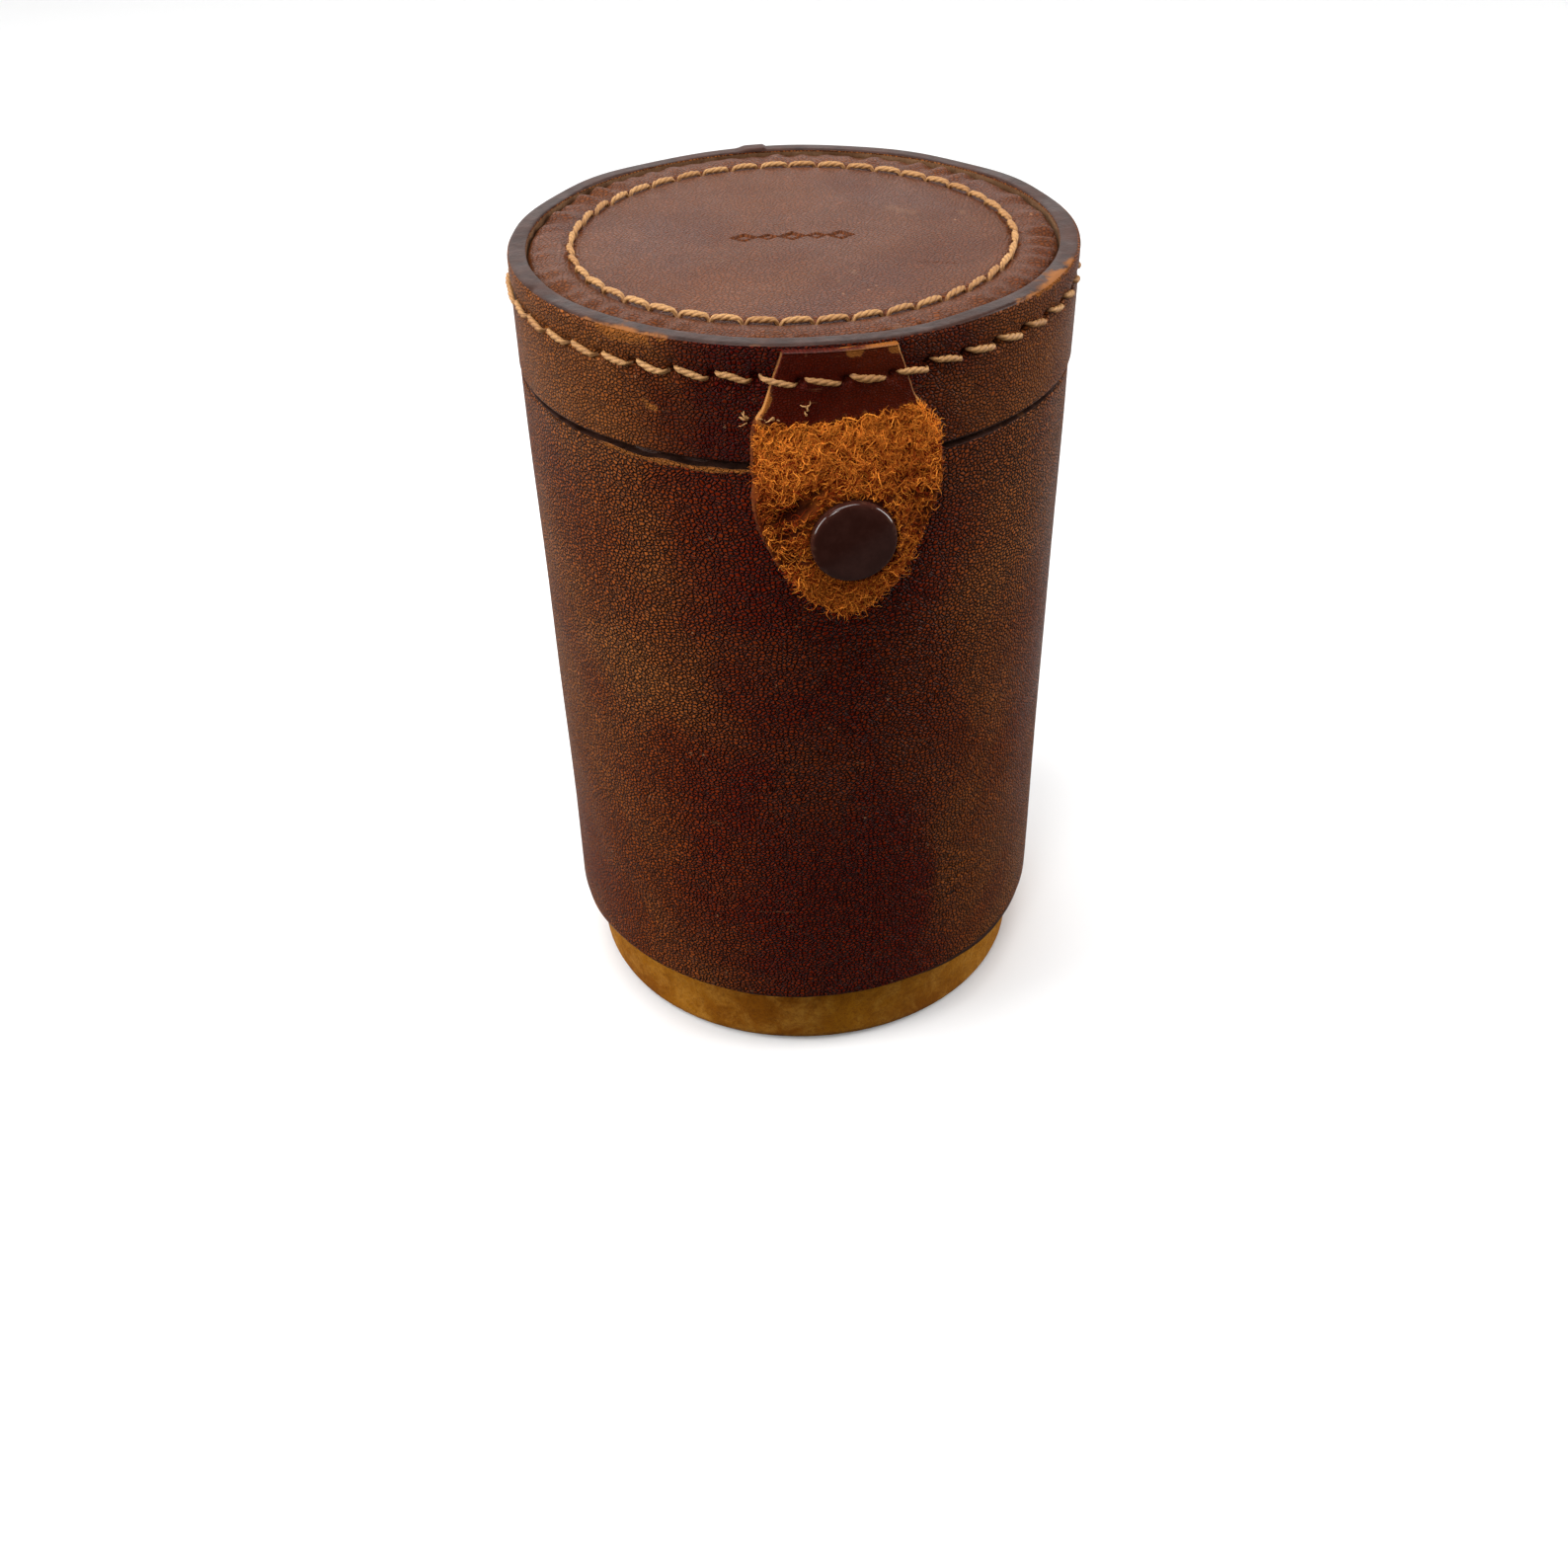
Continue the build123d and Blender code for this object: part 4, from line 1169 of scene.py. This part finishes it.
def build_hinge_thread():
    """Box of stitches holding the strap's lower end to the cup."""
    stitch_low, stitch_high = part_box("hinge_stitches")
    foot_row = stitch_low[2] + thread_radius
    side_azimuth = math.degrees(math.asin((stitch_high[0] - thread_radius) / (cover_radius + strap_leather)))
    surface = cover_radius + strap_leather
    stitches = []
    for step in (-1, 0, 1):
        middle = 180 + 6.2 * step
        ends = [wall_point(middle + side * 2.5, surface, foot_row) for side in (-1, 1)]
        stitches.append((ends[0], ends[1], wall_point(middle, 1.0, 0.0), 0.28 * MM))
    for side in (-1, 1):
        for step in range(3):
            azimuth = 180 + side * side_azimuth
            bottom = foot_row + (0.7 + 4.4 * step) * MM
            ends = [wall_point(azimuth, surface, level) for level in (bottom, bottom + 3.5 * MM)]
            stitches.append((ends[0], ends[1], wall_point(azimuth, 1.0, 0.0), 0.28 * MM))
    sew("hinge_thread", stitches, 15, "hinge_stitches", "cup")


# --- Pieces that keep their CAD shape ---------------------------------------------------

def paint(node, material):
    """Gives a CAD node a finished material."""
    mesh = frame["nodes"][node].data
    if not mesh.materials:
        mesh.materials.append(material)
    for slot in frame["nodes"][node].material_slots:
        slot.material = material


def paint_cad_pieces():
    metal = metal_material()
    board = raw_leather(
        "fibre_board", (0.16, 0.09, 0.045), (0.24, 0.15, 0.08), (0.33, 0.22, 0.13), rest=False, nap=900.0
    )
    suede = raw_leather("suede_lining", (0.13, 0.06, 0.025), (0.21, 0.11, 0.05), (0.3, 0.17, 0.085), False)
    foot = raw_leather(
        "tan_leather_disc", (0.15, 0.055, 0.008), (0.225, 0.09, 0.014), (0.29, 0.14, 0.035), rest=False
    )
    for node in ("snap_socket", "socket_spring", "snap_stud", "stud_eyelet"):
        paint(node, metal)
    for node in ("board_tube", "base_board", "lid_board"):
        paint(node, board)
    for node in ("floor_lining", "lid_lining"):
        paint(node, suede)
    paint("base_disc", foot)


# --- Studio -----------------------------------------------------------------------------

def soft_light(name, place, target, size, energy, colour=(1, 1, 1)):
    lamp = bpy.data.lights.new(name, "AREA")
    lamp.shape = "RECTANGLE"
    lamp.size, lamp.size_y = size
    lamp.energy = energy
    lamp.color = colour
    lamp_object = bpy.data.objects.new(name, lamp)
    bpy.context.scene.collection.objects.link(lamp_object)
    lamp_object.location = place
    direction = Vector(target) - Vector(place)
    lamp_object.rotation_euler = direction.to_track_quat("-Z", "Y").to_euler()


def build_world():
    """Dim surroundings, brighter behind the cup for a grazing sheen, and faintly lit from the table."""
    world = bpy.data.worlds.new("studio_world")
    bpy.context.scene.world = world
    world.use_nodes = True
    sky = Nodes(world.node_tree)
    direction = sky.node("ShaderNodeTexCoord").outputs["Generated"]
    split = sky.node("ShaderNodeSeparateXYZ", {0: direction}).outputs
    behind = sky.span(split["Y"], 0.2, 0.85, 0.02, 0.85)
    slope = sky.node("ShaderNodeMath", {0: split["X"], 1: -0.6, 2: split["Z"]}, operation="MULTIPLY_ADD")
    table = sky.span(slope.outputs[0], -0.6, -0.62, 0.0, 0.08)
    background = sky.tree.nodes["Background"].inputs
    sky.put(background["Strength"], sky.sum(behind, table))
    sky.put(background["Color"], (1.0, 1.0, 1.0))


def build_studio():
    """Pale floor and large soft lights at the back, the sides and above."""
    size = 6.0
    floor_points = np.array([(-size, -size, 0), (size, -size, 0), (size, size, 0), (-size, size, 0)])
    floor_shade = Shade("studio_floor")
    floor_shade.set(Base_Color=(0.86, 0.86, 0.86), Roughness=0.9, Specular_IOR_Level=0.1)
    floor = make_piece("studio_floor", floor_points, [[0, 1, 2, 3]], [floor_shade.material])
    # The pale floor would veil the dark leather with its own reflection.
    floor.visible_glossy = False
    floor.visible_diffuse = False
    aim = (0, 0, 0.07)
    soft_light("back_panel", (-0.1, 0.95, 0.6), aim, (1.3, 0.7), 2.9)
    soft_light("left_panel", (-0.85, -0.05, 0.35), aim, (0.6, 0.6), 8)
    soft_light("right_panel", (0.88, -0.05, 0.35), aim, (0.6, 0.6), 8.5)
    soft_light("top_panel", (-0.15, -0.1, 1.0), aim, (0.8, 0.8), 10)
    soft_light("front_fill", (-0.45, -0.9, 0.7), aim, (0.3, 0.3), 4)
    build_world()
    bpy.context.scene.view_settings.view_transform = "Standard"


def build_camera():
    """Close, looking down, a little to the left of the tab."""
    tab_angle, distance, height = math.radians(9.3), 240.6 * MM, 208.5 * MM
    heading, pitch, roll = np.radians([8.53, 37.07, -1.55]).tolist()
    forward = Vector((
        math.sin(heading) * math.cos(pitch), math.cos(heading) * math.cos(pitch), -math.sin(pitch)
    ))
    level_right = Vector((math.cos(heading), -math.sin(heading), 0))
    level_up = level_right.cross(forward)
    right = level_right * math.cos(roll) + level_up * math.sin(roll)
    up = level_up * math.cos(roll) - level_right * math.sin(roll)
    camera = bpy.data.cameras.new("camera")
    camera.sensor_width = 36.0
    camera.lens = 39.67
    camera.clip_start = 0.01
    camera_object = bpy.data.objects.new("camera", camera)
    bpy.context.scene.collection.objects.link(camera_object)
    turn = Matrix((right, up, -forward)).transposed().to_4x4()
    place = Vector((-distance * math.sin(tab_angle), -distance * math.cos(tab_angle), height))
    camera_object.matrix_world = Matrix.Translation(place) @ turn
    bpy.context.scene.camera = camera_object


build_lid_band()
build_lid_top()
build_top_thread()
build_band_thread()
build_cover()
build_tube()
build_tab()
build_nap()
build_frayed_thread()
build_snap_cap()
build_hinge_strap()
build_hinge_thread()
paint_cad_pieces()
build_studio()
build_camera()
